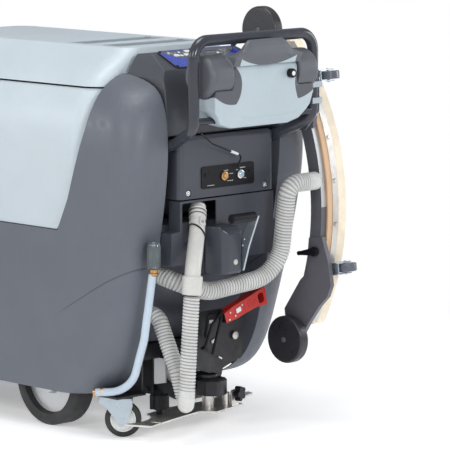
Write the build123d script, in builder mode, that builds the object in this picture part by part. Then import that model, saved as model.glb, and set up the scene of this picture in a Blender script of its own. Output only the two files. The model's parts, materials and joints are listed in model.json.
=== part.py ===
from build123d import *
import math
import os

# Walk-behind automatic floor scrubber with its rear squeegee lifted off and hung beside the handle.
# Millimetres. +X is the travel direction, +Y the machine's left, +Z up.
# Parts are drawn with the origin on the floor, on the centre plane, under the drive axle.
# They are written out with the origin under the middle of the machine's overall length.

os.makedirs("parts", exist_ok=True)

# ---------------------------------------------------------------- driving dimensions
mid_length_x = 119.81      # middle of the overall length
fit_gap = 0.05             # radial clearance of shafts, pins and buttons in their holes

wall = 6.0                 # rotomoulded wall
tank_front = 700.0         # front face of the solution tank
deck_top = 560.0           # top of the solution tank's shoulder, under the recovery tank
bay_half = 213.0           # half width of the open bay at the rear
bay_front = -255.0         # forward wall of the rear bay

rec_gap = 8                # gap from the wings to the recovery tank
rec_rear = -240.0 + rec_gap
rec_front = 650.0
rec_wall = 5

cover_face = -420.0        # rearmost face of cover and bulkhead
split_z = 650.0            # joint line between cover and bulkhead
column_x = -311            # centre of the column between the wings

wheel_r = 127.0            # drive wheels
wheel_y = 250.0
axle_r = 14.0

caster_r = 50.0
caster_w = 26.0
caster_x = -240.0          # swivel axis
caster_y = 275.0
caster_trail = 40.0

brush_x = 636.0
brush_y = 176.0
brush_r = 174.0
deck_lift = 30.0           # brushes clear the floor by this much at rest
brush_spots = [(brush_x, brush_y), (brush_x, -brush_y)]

tube_r = 15.0              # handle tube
loop_x = -521.0
loop_half = 226.0
loop_top = 1084.0
loop_bottom = 852.0
crossbar_at = (loop_x, 872)        # X, Z

pod_axis_x = -515.0        # drive paddle's twist axis, parallel to Y
pod_axis_z = 988.0
pod_axis = (pod_axis_x, pod_axis_z)

pivot_x = -345.0           # squeegee mount's swivel axis
pivot_pin_r = 10
mount_turn = 15.0          # swivel angle the mount rests at
arm_pivot_x = -196.0
arm_pivot_at = (arm_pivot_x, 100.0)    # X, Z

# Hung squeegee: its chord runs through the two bumper discs.
chord_low = Vector(-422, -236, 228)
chord_high = Vector(-321, -236, 1079)
chord_half = (chord_high - chord_low).length / 2
chord_mid = (chord_low + chord_high) * 0.5
chord_dir = (chord_high - chord_low).normalized()
arc_centre = 156.0 - 690.0     # centre of the squeegee's arcs, from the chord towards the bulge

peg_at = (-458, 825)       # storage hook's peg: X, Z
inlet_at = (-505, 675)     # squeegee's suction spigot: X, Z


# ---------------------------------------------------------------- helpers
def at_x(x):
    """Plane across the machine; local axes are Y and Z, extrusion runs towards +X."""
    return Plane.YZ.offset(x)


def at_y(y):
    """Plane along the machine; local axes are X and Z, extrusion runs towards -Y."""
    return Plane.XZ.offset(-y)


def at_z(z):
    """Level plane; local axes are X and Y, extrusion runs up."""
    return Plane.XY.offset(z)


def save(part, name):
    """Writes a part with the origin on the floor under the middle of the overall length."""
    placed = part.moved(Location((-mid_length_x, 0, 0)))
    placed.label = name
    export_step(placed, f"parts/{name}.step")


def mirrored(half):
    """Outline of (Y, Z) points made of one half and its mirror image in the centre plane."""
    return half + [(-y, z) for y, z in reversed(half)]


def ring_loft(rings, inset=0):
    """Loft through level rounded rectangles: z, rear x, front x, half width, corner radius."""
    with BuildPart() as body:
        for z, rear, front, half_width, radius in rings:
            with BuildSketch(at_z(z)):
                with Locations(((rear + front) / 2, 0)):
                    RectangleRounded(front - rear - 2 * inset, 2 * (half_width - inset),
                                     radius - inset)
        loft()
    return body.part


def rounded_path(points, radii):
    """Straight runs between points, each inner corner rounded; call inside BuildLine."""
    points = [Vector(*point) for point in points]
    start = points[0]
    for before, corner, after, radius in zip(points, points[1:], points[2:], radii):
        back = (before - corner).normalized()
        onward = (after - corner).normalized()
        angle = math.acos(max(-1.0, min(1.0, back.dot(onward))))
        setback = radius / math.tan(angle / 2)
        arc_start = corner + back * setback
        arc_end = corner + onward * setback
        bisector = (back + onward).normalized()
        arc_mid = corner + bisector * (radius / math.sin(angle / 2)) - bisector * radius
        if (arc_start - start).length > 1e-4:
            Line(start, arc_start)
        ThreePointArc(arc_start, arc_mid, arc_end)
        start = arc_end
    Line(start, points[-1])


def tube_along(points, radii, radius, bore=0):
    """Round bar or tube swept along a rounded path."""
    with BuildPart() as tube:
        with BuildLine() as run:
            rounded_path(points, radii)
        with BuildSketch(Plane(origin=run.line @ 0, z_dir=run.line % 0)):
            Circle(radius)
            if bore:
                Circle(bore, mode=Mode.SUBTRACT)
        sweep()
    return tube.part


# ---------------------------------------------------------------- lower body and rear wings
# z, rear x, half width, corner radius in plan
body_stations = [
    (111, -183, 324, 84),
    (152, -254, 331, 92),
    (230, -309, 337, 108),
    (400, -353, 343, 96),
    (600, -390, 350, 78),
    (800, -411, 353, 86),
    (900, -398, 327, 96),
    (965, -352, 262, 106),
    (1002, -262, 194, 112),
]
# The wings' leading edge sweeps forward as it goes down: X, Z.
wing_edge = [(-120, deck_top), (-166, 650), (-206, 760), (-232, 840), (-240, 900), (-240, 1060)]
top_clear = 1060           # above every part of the body
front_clear = 760          # ahead of every part of the body
skirt_bottom = 90          # below the body's lower edge
partition_top = 296        # floor between the tank room and the skirt room
wing_wall_x = -253         # rear face of the wall between wings and tank
room_rear = wing_wall_x + wall
room_mid = (room_rear + front_clear) / 2
room_length = front_clear - room_rear
well_x = 90                # battery well
well_length = 480
well_width = 390
well_bottom = 250
bay_length = 300
passage_width = 410


def ahead_of_edge(shift):
    """Everything above the shoulder and ahead of the wings' edge moved forward by shift."""
    with BuildPart() as region:
        with BuildSketch(at_y(400)):
            with BuildLine():
                Polyline(*[(x + shift, z) for x, z in wing_edge],
                         (front_clear, top_clear), (front_clear, deck_top), close=True)
            make_face()
        extrude(amount=800)
    return region.part


body_shell = ring_loft([(z, rear, tank_front, half_width, radius)
                        for z, rear, half_width, radius in body_stations])
# the cavity's topmost stations are lowered to leave a roof
body_cavity = ring_loft([(z - (5 if z > 900 else 0), rear, tank_front, half_width, radius)
                         for z, rear, half_width, radius in body_stations], inset=wall)
recovery_seat = ahead_of_edge(0)

with BuildPart() as tank_room:
    add(body_cavity)
    with BuildSketch(at_z(partition_top)):
        with Locations((room_mid, 0)):
            Rectangle(room_length, 760)
        with Locations((well_x, 0)):
            Rectangle(well_length + 2 * wall, well_width + 2 * wall, mode=Mode.SUBTRACT)
    extrude(amount=deck_top - wall - partition_top, mode=Mode.INTERSECT)

with BuildPart() as skirt_room:
    add(body_cavity)
    with BuildSketch(at_z(skirt_bottom)):
        with Locations((room_mid, 0)):
            Rectangle(room_length, 760)
    extrude(amount=partition_top - wall - skirt_bottom, mode=Mode.INTERSECT)
    with BuildSketch(at_z(well_bottom - wall)):
        with Locations((well_x, 0)):
            Rectangle(well_length + 2 * wall, well_width + 2 * wall)
    extrude(amount=80, mode=Mode.SUBTRACT)

with BuildPart() as wing_region:
    with BuildSketch(at_y(420)):
        with BuildLine():
            Polyline((-547, skirt_bottom), (wing_wall_x, skirt_bottom),
                     (wing_wall_x, deck_top + wall),
                     *[(x - wall, z + (wall if z == deck_top else 0)) for x, z in wing_edge],
                     (-547, top_clear), close=True)
        make_face()
    extrude(amount=840)
    with BuildSketch(at_z(80)):
        Rectangle(1200, 2 * (bay_half + wall))
    extrude(amount=1000, mode=Mode.SUBTRACT)

with BuildPart() as wing_room:
    add(body_cavity)
    add(wing_region.part, mode=Mode.INTERSECT)

with BuildPart() as solution_tank:
    add(body_shell)
    # rear bay between the wings
    with BuildSketch(at_z(80)):
        with Locations((bay_front - bay_length / 2, 0)):
            Rectangle(bay_length, 2 * bay_half)
    extrude(amount=960, mode=Mode.SUBTRACT)
    # seat of the recovery tank, behind which the wings rise to their swept leading edge
    add(recovery_seat, mode=Mode.SUBTRACT)
    # open space between the wings, ahead of the console
    with BuildSketch(at_z(deck_top)):
        with Locations((-178, 0)):
            Rectangle(156, 2 * bay_half)
    extrude(amount=500, mode=Mode.SUBTRACT)
    # battery well
    with BuildSketch(at_z(well_bottom)):
        with Locations((well_x, 0)):
            Rectangle(well_length, well_width)
    extrude(amount=400, mode=Mode.SUBTRACT)
    add(tank_room.part, mode=Mode.SUBTRACT)
    add(skirt_room.part, mode=Mode.SUBTRACT)
    add(wing_room.part, mode=Mode.SUBTRACT)
    # frame rails and the squeegee arm pass under the well
    with BuildSketch(at_z(skirt_bottom)):
        with Locations((-230, 0)):
            Rectangle(140, passage_width)
    extrude(amount=156, mode=Mode.SUBTRACT)
save(solution_tank.part, "solution_tank")

# ---------------------------------------------------------------- recovery tank
# z, half width, amount the front face is drawn back
recovery_stations = [(deck_top + 2, 343, 0), (760, 349, 0), (860, 344, 0), (944, 300, 10)]
recovery_radius = 60
stub_at = (120, 900)       # hose stub: Y, Z
stub_r = 32
stub_bore_r = 27

recovery_shell = ring_loft([(z, rec_rear, rec_front - cut, half_width, recovery_radius)
                            for z, half_width, cut in recovery_stations])
recovery_cavity = ring_loft([(max(z, deck_top + 8), rec_rear, rec_front - cut, half_width,
                              recovery_radius)
                             for z, half_width, cut in recovery_stations], inset=rec_wall)
recovery_profile = ahead_of_edge(rec_gap)
recovery_profile_inner = ahead_of_edge(rec_gap + 5.5)

with BuildPart() as recovery_room:
    add(recovery_cavity)
    add(recovery_profile_inner, mode=Mode.INTERSECT)

with BuildPart() as recovery_tank:
    add(recovery_shell)
    add(recovery_profile, mode=Mode.INTERSECT)
    add(recovery_room.part, mode=Mode.SUBTRACT)
    # suction inlet stub of the dirty-water hose at the rear wall
    with BuildSketch(at_x(rec_rear + 4)):
        with Locations(stub_at):
            Circle(stub_r)
    extrude(amount=60)
    with BuildSketch(at_x(rec_rear - 1)):
        with Locations(stub_at):
            Circle(stub_bore_r)
    extrude(amount=70, mode=Mode.SUBTRACT)
save(recovery_tank.part, "recovery_tank")

# ---------------------------------------------------------------- recovery tank's lid
# z, half width, inset of the rear face, inset of the front face
lid_stations = [(949, 303, 0, 0), (985, 268, 3, 4), (1018, 222, 8, 16), (1046, 180, 14, 40)]
lid_radius = 55
recess_spots = [(-120, 0), (10, 0)]
recess_floor = 1043.5
recess_length = 73
recess_width = 300
recess_wall = 3

lid_shell = ring_loft([(z, rec_rear + rear, rec_front - front, half_width, lid_radius)
                       for z, half_width, rear, front in lid_stations])
lid_cavity = ring_loft([(z - (wall if z > 950 else 0), rec_rear + rear, rec_front - front,
                         half_width, lid_radius)
                        for z, half_width, rear, front in lid_stations], inset=wall)

with BuildPart() as recovery_lid:
    add(lid_shell)
    add(lid_cavity, mode=Mode.SUBTRACT)
    # two shallow hand recesses across the lid, each with its own floor
    with BuildSketch(at_z(recess_floor)):
        with Locations(*recess_spots):
            RectangleRounded(recess_length, recess_width, 14)
    extrude(amount=10, mode=Mode.SUBTRACT)
    with BuildSketch(at_z(recess_floor)):
        with Locations(*recess_spots):
            RectangleRounded(recess_length + 2 * recess_wall, recess_width + 2 * recess_wall, 16)
    extrude(amount=-5)
save(recovery_lid.part, "recovery_lid")

# ---------------------------------------------------------------- console between the wings
# the sloping face's lower and upper edges: X, Z
slope_low = (-377, 997)
slope_high = (-292, 1038)
# side outlines: X, Z
console_side = [(-242, 822), (-242, 1032), slope_high, slope_low, (-392, 940), (-398, 845),
                (-398, 822)]
console_side_inner = [(-248, 780), (-248, 1026), (-292, 1030), (-371, 991), (-386, 939),
                      (-391, 845), (-391, 780)]
# left halves of the front outlines: Y, Z
console_front = mirrored([(205, 790), (205, 975), (190, 1002), (152, 1050)])
console_front_inner = mirrored([(198, 770), (198, 971), (183, 998), (147, 1042)])
console_half = 205
console_half_inner = 198
console_bottom = 822
column_length = 122
column_width = 350
column_wall = 4


def console_body(side, front, half_width):
    """Side outline extruded across the machine and trimmed to the front outline."""
    with BuildPart() as body:
        with BuildSketch(at_y(half_width)):
            with BuildLine():
                Polyline(*side, close=True)
            make_face()
        extrude(amount=2 * half_width)
        with BuildSketch(at_x(-420)):
            with BuildLine():
                Polyline(*front, close=True)
            make_face()
        extrude(amount=200, mode=Mode.INTERSECT)
    return body.part


console_outer = console_body(console_side, console_front, console_half)
console_cavity = console_body(console_side_inner, console_front_inner, console_half_inner)

with BuildPart() as console:
    add(console_outer)
    add(console_cavity, mode=Mode.SUBTRACT)
    # narrow column that carries the rear cover
    with BuildSketch(at_z(split_z + 2)):
        with Locations((column_x, 0)):
            Rectangle(column_length, column_width)
            Rectangle(column_length - 2 * column_wall, column_width - 2 * column_wall,
                      mode=Mode.SUBTRACT)
    extrude(amount=172)
    # floor around the column
    with BuildSketch(at_z(console_bottom)):
        with Locations((-320, 0)):
            Rectangle(156, 2 * console_half)
        with Locations((column_x, 0)):
            Rectangle(column_length - 2 * column_wall, column_width - 2 * column_wall,
                      mode=Mode.SUBTRACT)
    extrude(amount=5)
save(console.part, "console")

# ---------------------------------------------------------------- control panel
slope_run = slope_high[0] - slope_low[0]
slope_rise = slope_high[1] - slope_low[1]
# on the console's sloping face; local x runs up the slope, local y towards the machine's left
panel_plane = Plane(
    origin=((slope_low[0] + slope_high[0]) / 2, 0, (slope_low[1] + slope_high[1]) / 2),
    x_dir=(slope_run, 0, slope_rise), z_dir=(-slope_rise, 0, slope_run))
panel_bottom = 0.4         # above the sloping face
panel_top = panel_bottom + 4
buttons = [("brush_button", (14, 96)), ("vacuum_button", (14, 58)), ("solution_button", (14, 20))]
display_at = (16, -38)
lock_at = (20, -118)
key_r = 5

with BuildPart() as control_panel:
    with BuildSketch(panel_plane.offset(panel_bottom)):
        RectangleRounded(88, 290, 9)
        with Locations(*[spot for _, spot in buttons]):
            RectangleRounded(12, 20, 5, mode=Mode.SUBTRACT)
        with Locations(lock_at):
            Circle(key_r + fit_gap, mode=Mode.SUBTRACT)
    extrude(amount=panel_top - panel_bottom)
    # display bezel
    with BuildSketch(panel_plane.offset(panel_top)):
        with Locations(display_at):
            RectangleRounded(26, 62, 4)
            RectangleRounded(19, 54, 3, mode=Mode.SUBTRACT)
    extrude(amount=1.4)
    # lock barrel
    with BuildSketch(panel_plane.offset(panel_top)):
        with Locations(lock_at):
            Circle(11)
            Circle(key_r + fit_gap, mode=Mode.SUBTRACT)
    extrude(amount=4)
save(control_panel.part, "control_panel")


def push_button(spot):
    with BuildPart() as button:
        with BuildSketch(panel_plane.offset(panel_bottom + 2.2)):
            with Locations(spot):
                RectangleRounded(11.4, 19.4, 4.7)
        extrude(amount=4)
        outward = Axis(origin=(0, 0, 0), direction=(-slope_rise, 0, slope_run))
        fillet(button.faces().sort_by(outward)[-1].edges(), 0.8)
    return button.part


for name, spot in buttons:
    save(push_button(spot), name)

bow_plane = Plane(origin=panel_plane.from_local_coords((*lock_at, panel_bottom + 30)),
                  x_dir=(0, 1, 0), z_dir=(slope_run, 0, slope_rise))
with BuildPart() as ignition_key:
    with BuildSketch(panel_plane.offset(panel_bottom + 1)):
        with Locations(lock_at):
            Circle(key_r)
    extrude(amount=11)
    with BuildSketch(panel_plane.offset(panel_bottom + 12)):
        with Locations(lock_at):
            RectangleRounded(3.2, 9, 1.4)
    extrude(amount=6)
    # flat bow with a ring hole
    with BuildSketch(bow_plane):
        RectangleRounded(21, 27, 8)
        with Locations((0, 8)):
            Circle(3, mode=Mode.SUBTRACT)
    extrude(amount=1.6, both=True)
save(ignition_key.part, "ignition_key")

# ---------------------------------------------------------------- rear cover
cover_half = 180.0
cover_depth = 46.0
cover_mid_x = cover_face + cover_depth / 2
cover_bolt_spots = [(146, 668), (-146, 668)]       # Y, Z
bolt_shank_r = 4
breaker_spots = [(15, 705), (-46, 705)]            # left and right breaker: Y, Z
breaker_r = 7

with BuildPart() as rear_cover:
    with BuildSketch(at_z(split_z + 2)):
        with Locations((cover_mid_x, 0)):
            Rectangle(cover_depth, 2 * cover_half)
    extrude(amount=166)
    fillet(rear_cover.edges().filter_by(Axis.Z).group_by(Axis.X)[0], 16)
    fillet(rear_cover.faces().sort_by(Axis.Z)[-1].edges().group_by(Axis.X)[0], 12)
    # hollow, open to the front and below
    with BuildSketch(at_z(split_z + 2)):
        with Locations((cover_mid_x + 2.5, 0)):
            Rectangle(cover_depth - 4.9, 2 * cover_half - 8)
    extrude(amount=162, mode=Mode.SUBTRACT)
    # bolt pockets at the lower corners
    with BuildSketch(at_x(cover_face - 1)):
        with Locations(*cover_bolt_spots):
            Circle(10)
    extrude(amount=3, mode=Mode.SUBTRACT)
    with BuildSketch(at_x(cover_face + 4)):
        with Locations(*cover_bolt_spots):
            Circle(13)
    extrude(amount=9)
    with BuildSketch(at_x(cover_face - 1)):
        with Locations(*cover_bolt_spots):
            Circle(10)
    extrude(amount=10, mode=Mode.SUBTRACT)
    with BuildSketch(at_x(cover_face)):
        with Locations(*cover_bolt_spots):
            Circle(bolt_shank_r + fit_gap)
    extrude(amount=20, mode=Mode.SUBTRACT)
    # openings behind the breakers
    with BuildSketch(at_x(cover_face - 1)):
        with Locations(*breaker_spots):
            Circle(12)
    extrude(amount=10, mode=Mode.SUBTRACT)
save(rear_cover.part, "rear_cover")

with BuildPart() as cover_bolts:
    with BuildSketch(at_x(cover_face + 1.5)):
        with Locations(*cover_bolt_spots):
            Circle(7.5)
    extrude(amount=6.4)
    with BuildSketch(at_x(cover_face + 7.8)):
        with Locations(*cover_bolt_spots):
            Circle(bolt_shank_r)
    extrude(amount=22)
    # hexagon sockets
    with BuildSketch(at_x(cover_face + 1.5)):
        with Locations(*cover_bolt_spots):
            RegularPolygon(3.4, 6)
    extrude(amount=3, mode=Mode.SUBTRACT)
save(cover_bolts.part, "cover_bolts")

with BuildPart() as breaker_plate:
    with BuildSketch(at_x(cover_face - 3)):
        with Locations((0, 705)):
            RectangleRounded(200, 60, 8)
        with Locations(*breaker_spots):
            Circle(breaker_r + fit_gap, mode=Mode.SUBTRACT)
    extrude(amount=2.9)
    # collars round the breakers and two round heads beside them
    with BuildSketch(at_x(cover_face - 5.5)):
        with Locations(*breaker_spots):
            Circle(11.5)
            Circle(breaker_r + fit_gap, mode=Mode.SUBTRACT)
        with Locations((84, 712), (-84, 712)):
            Circle(4.5)
    extrude(amount=2.6)
save(breaker_plate.part, "breaker_plate")


def breaker(spot):
    with BuildPart() as body:
        with BuildSketch(at_x(cover_face - 11)):
            with Locations(spot):
                Circle(breaker_r)
        extrude(amount=16)
        fillet(body.faces().sort_by(Axis.X)[0].edges(), 1.5)
    return body.part


for side, spot in zip(("left", "right"), breaker_spots):
    save(breaker(spot), f"breaker_{side}")

# cable from the pod end of the handle to the breaker plate
save(tube_along([(-497, 176, 838), (-452, 90, 800), (-438, -38, 756), (-429, -28, 724)],
                [60, 14], radius=2.4), "control_cable")

# ---------------------------------------------------------------- rear bulkhead
bulkhead_wall = 5


def bulkhead_outline(inset):
    """Stepped outline, wide below and narrow above: Y, Z."""
    return mirrored([(210 - inset, 477 + inset), (210 - inset, 565 - inset),
                     (178 - inset, 568 - inset), (178 - inset, 648 - inset)])


with BuildPart() as rear_bulkhead:
    with BuildSketch(at_x(cover_face)):
        with BuildLine():
            Polyline(*bulkhead_outline(0), close=True)
        make_face()
    extrude(amount=44)
    with BuildSketch(at_x(cover_face + bulkhead_wall)):
        with BuildLine():
            Polyline(*bulkhead_outline(bulkhead_wall), close=True)
        make_face()
    extrude(amount=40, mode=Mode.SUBTRACT)
    # window of the drain tube
    with BuildSketch(at_x(cover_face - 1)):
        with Locations((106, 589)):
            RectangleRounded(128, 106, 6)
    extrude(amount=8, mode=Mode.SUBTRACT)
save(rear_bulkhead.part, "rear_bulkhead")

# ---------------------------------------------------------------- drain tube and hoses
drain_points = [(-398, 90, 626), (-440, 135, 560), (-474, 184, 470), (-476, 190, 406)]
cuff_length = 50
cuff_plane = Plane(origin=drain_points[-1],
                   z_dir=Vector(*drain_points[-1]) - Vector(*drain_points[-2]))

with BuildPart() as drain_tube:
    with BuildLine() as drain_run:
        rounded_path(drain_points, [60, 60])
    with BuildSketch(Plane(origin=drain_run.line @ 0, z_dir=drain_run.line % 0)):
        Circle(22)
    sweep()
    # cuff at the lower end
    with BuildSketch(cuff_plane.offset(-cuff_length)):
        Circle(27.5)
    extrude(amount=cuff_length)
    # collar near the top
    with BuildSketch(Plane(origin=drain_run.line @ 0.12, z_dir=drain_run.line % 0.12)):
        Circle(25.5)
    extrude(amount=10)
save(drain_tube.part, "drain_tube")

save(tube_along([(-476, 190.3, 402), (-481, 216, 96), (-431, 213, 96), (-427, 202, 160),
                 (-345, 186, 330), (-262, 186, 344)],
                [23.5, 23.5, 30, 40], radius=21), "drain_hose")

vacuum_run = tube_along(
    [(-505, -257, 675), (-505, -148, 675), (-472, -146, 425), (-424, 80, 395), (-400, 176, 430),
     (-340, 186, 447), (-262, 186, 448)],
    [38, 100, 120, 60, 60], radius=25)
with BuildPart() as vacuum_hose:
    add(vacuum_run)
    # bore of the cuff that slips over the squeegee's inlet spigot
    with BuildSketch(at_y(-258)):
        with Locations(inlet_at):
            Circle(19.2)
    extrude(amount=-35, mode=Mode.SUBTRACT)
save(vacuum_hose.part, "vacuum_hose")

# ---------------------------------------------------------------- solution level tube
level_at = (-406, 262)     # X, Y of cap and fitting
level_spigot_r = 9

with BuildPart() as level_tube_cap:
    with BuildSketch(at_z(477)):
        with Locations(level_at):
            Circle(19)
    extrude(amount=74)
    fillet(level_tube_cap.faces().sort_by(Axis.Z)[-1].edges(), 14)
    with BuildSketch(at_z(476)):
        with Locations(level_at):
            Circle(level_spigot_r + fit_gap)
    extrude(amount=30, mode=Mode.SUBTRACT)
save(level_tube_cap.part, "level_tube_cap")

level_run = tube_along([(-404, 264, 462), (-372, 268, 280), (-315, 272, 138), (-238, 322, 128)],
                       [200, 60], radius=11, bore=8)
with BuildPart() as level_tube:
    add(level_run)
    # fitting and spigot under the cap
    with BuildSketch(at_z(456)):
        with Locations(level_at):
            Circle(12)
    extrude(amount=19.5)
    with BuildSketch(at_z(475.4)):
        with Locations(level_at):
            Circle(level_spigot_r)
    extrude(amount=20)
    # elbow at the tank outlet
    with BuildSketch(Plane(origin=(-246, 316.8, 129), z_dir=(77, 50, -10))):
        Circle(10)
    extrude(amount=28)
    with BuildSketch(at_z(118)):
        with Locations((-222, 331)):
            Circle(9)
    extrude(amount=11)
save(level_tube.part, "level_tube")

# ---------------------------------------------------------------- squeegee lift lever
lever_pivot_at = (-466, 474)       # X, Z
lever_pivot_r = 6
grip_at = (-529, 604)              # X, Z
grip_rod_r = 6
housing_face = -425.5
# plan outline of the housing: X, Y
housing_plan = [(housing_face, 90), (-470, 70), (-481, 56), (-481, 6), (housing_face, 6)]
# side outline of the lever: X, Z
lever_side = [(-447, 462), (-462, 446), (-484, 452), (-505, 520), (-541, 606), (-519, 612),
              (-480, 540), (-448, 500)]

with BuildPart() as lever_housing:
    with BuildSketch(at_z(445)):
        with BuildLine():
            Polyline(*housing_plan, close=True)
        make_face()
    extrude(amount=130)
    chamfer(lever_housing.faces().sort_by(Axis.Z)[-1].edges().group_by(Axis.X)[0], 18)
    fillet(lever_housing.faces().sort_by(Axis.Z)[0].edges().group_by(Axis.X)[0], 8)
    # fixing flange behind the bulkhead's lower edge
    with BuildSketch(at_x(housing_face)):
        with Locations((48, 510)):
            Rectangle(84, 130)
    extrude(amount=5)
    # pivot stub of the lever
    with BuildSketch(at_y(7)):
        with Locations(lever_pivot_at):
            Circle(lever_pivot_r)
    extrude(amount=20)
save(lever_housing.part, "lever_housing")

with BuildPart() as lift_lever:
    with BuildSketch(at_y(5)):
        with BuildLine():
            Polyline(*lever_side, close=True)
        make_face()
        with Locations(lever_pivot_at):
            Circle(lever_pivot_r + fit_gap, mode=Mode.SUBTRACT)
        with Locations((-490, 537), (-484, 520)):
            Circle(3, mode=Mode.SUBTRACT)
    extrude(amount=6)
    # hub ring on the lever's right face
    with BuildSketch(at_y(-0.6)):
        with Locations(lever_pivot_at):
            Circle(11)
            Circle(lever_pivot_r + fit_gap, mode=Mode.SUBTRACT)
    extrude(amount=3)
    # rod that carries the grip
    with BuildSketch(at_y(92)):
        with Locations(grip_at):
            Circle(grip_rod_r)
    extrude(amount=92)
save(lift_lever.part, "lift_lever")

with BuildPart() as lever_grip:
    with BuildSketch(at_y(96)):
        with Locations(grip_at):
            Circle(13)
    extrude(amount=90)
    fillet(lever_grip.edges().filter_by(GeomType.CIRCLE), 4)
    with BuildSketch(at_y(92.5)):
        with Locations(grip_at):
            Circle(grip_rod_r)
    extrude(amount=90, mode=Mode.SUBTRACT)
save(lever_grip.part, "lever_grip")

# ---------------------------------------------------------------- battery connector
plug_tilt = math.radians(18.0)
# facing rearwards; local x runs to the machine's right, rising by the tilt
plug_plane = Plane(origin=(-398, -76, 336),
                   x_dir=(0, -math.cos(plug_tilt), math.sin(plug_tilt)), z_dir=(-1, 0, 0))
plug_half_depth = 13
# outlines on the plug plane
socket_outline = [(-78, -14), (-40, -19), (-1, -19), (-1, 19), (-40, 19), (-78, 14)]
plug_outline = [(0, -19), (40, -21), (84, -30), (88, 22), (46, 20), (0, 19)]
# centre lines of the three leads that hang from the socket
lead_runs = [
    [(-398, -2, 322), (-399, 16, 272), (-376, 12, 212)],
    [(-398, -2, 330), (-408, 46, 300), (-394, 58, 240), (-376, 52, 232)],
    [(-392, -2, 326), (-386, 38, 322), (-380, 44, 268), (-376, 38, 262)],
]
leads = [tube_along(run, [10] * (len(run) - 2), radius=4.6) for run in lead_runs]

with BuildPart() as battery_socket:
    with BuildSketch(plug_plane.offset(-plug_half_depth)):
        with BuildLine():
            Polyline(*socket_outline, close=True)
        make_face()
    extrude(amount=2 * plug_half_depth)
    # mouth that takes the plug's tongue
    with BuildSketch(plug_plane.offset(-8)):
        with Locations((-20, 0)):
            Rectangle(39, 24)
    extrude(amount=16, mode=Mode.SUBTRACT)
    # round boss on the rear face
    with BuildSketch(plug_plane.offset(11)):
        with Locations((-22, 0)):
            Circle(5)
    extrude(amount=4)
    for lead in leads:
        add(lead)
save(battery_socket.part, "battery_socket")

with BuildPart() as battery_plug:
    with BuildSketch(plug_plane.offset(-plug_half_depth)):
        with BuildLine():
            Polyline(*plug_outline, close=True)
        make_face()
    extrude(amount=2 * plug_half_depth)
    # opening through the wide end
    with BuildSketch(plug_plane.offset(-14)):
        with Locations((66, -3)):
            RectangleRounded(22, 28, 7)
    extrude(amount=28, mode=Mode.SUBTRACT)
    # tongue
    with BuildSketch(plug_plane.offset(-6.5)):
        with Locations((-16, 0)):
            Rectangle(34, 20)
    extrude(amount=13)
save(battery_plug.part, "battery_plug")

# ---------------------------------------------------------------- batteries
battery_pitch_x = 238
battery_pitch_y = 190

with BuildPart() as batteries:
    with BuildSketch(at_z(well_bottom + 2)):
        with GridLocations(battery_pitch_x, battery_pitch_y, 2, 2):
            RectangleRounded(232, 184, 8)
    extrude(amount=262)
    # terminals
    with BuildSketch(at_z(513)):
        with GridLocations(battery_pitch_x, battery_pitch_y, 2, 2):
            with Locations((-80, 40), (-80, -40)):
                Circle(9)
    extrude(amount=20)
save(batteries.part.move(Location((well_x, 0, 0))), "batteries")

# ---------------------------------------------------------------- chassis
frame_bottom = 200
frame_height = 42
arm_pin_r = 8
caster_plate_bottom = 112.5

with BuildPart() as chassis:
    # side rails and cross members
    with BuildSketch(at_z(frame_bottom)):
        with Locations((75, 170), (75, -170)):
            Rectangle(690, 40)
        with Locations((-250, 0), (0, 0), (400, 0)):
            Rectangle(40, 340)
    extrude(amount=frame_height)
    # back plate tapering down to the squeegee swivel
    with BuildSketch(at_x(-366)):
        with BuildLine():
            Polyline(*mirrored([(16, 158), (112, 190), (112, 330)]), close=True)
        make_face()
    extrude(amount=6)
    with BuildSketch(at_z(frame_bottom)):
        with Locations((-315, 109), (-315, -109)):
            Rectangle(90, 6)
    extrude(amount=frame_height)
    # left caster's carrier plate and its drop
    with BuildSketch(at_z(caster_plate_bottom)):
        with Locations((-255.5, 247)):
            Rectangle(95, 106)
    extrude(amount=5.5)
    with BuildSketch(at_z(caster_plate_bottom)):
        with Locations((-238, 193)):
            Rectangle(100, 6)
    extrude(amount=129)
    # hangers of the squeegee arm
    for left_face in (88, -82):
        with BuildSketch(at_y(left_face)):
            with Locations((arm_pivot_x, 150)):
                Rectangle(44, 124)
            with Locations(arm_pivot_at):
                Circle(arm_pin_r + fit_gap, mode=Mode.SUBTRACT)
        extrude(amount=6)
    with BuildSketch(at_z(206)):
        with Locations((-202, 0)):
            Rectangle(56, 340)
    extrude(amount=30)
    # spine to the deck actuator
    with BuildSketch(at_z(frame_bottom)):
        with Locations((455, 0)):
            Rectangle(80, 60)
    extrude(amount=frame_height)
    # big pivot bolts on the back plate
    with BuildSketch(at_x(-374)):
        with Locations((-78, 252), (78, 252)):
            Circle(12)
    extrude(amount=8.5)
save(chassis.part, "chassis")

# ---------------------------------------------------------------- squeegee arm
# side outline of each bar: X, Z
arm_side = [(arm_pivot_x + 16, 112), (arm_pivot_x + 16, 88), (arm_pivot_x - 16, 88),
            (-302, 104), (-302, 134), (arm_pivot_x - 16, 114)]
crosshead_x = -304
crosshead_length = 14

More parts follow.
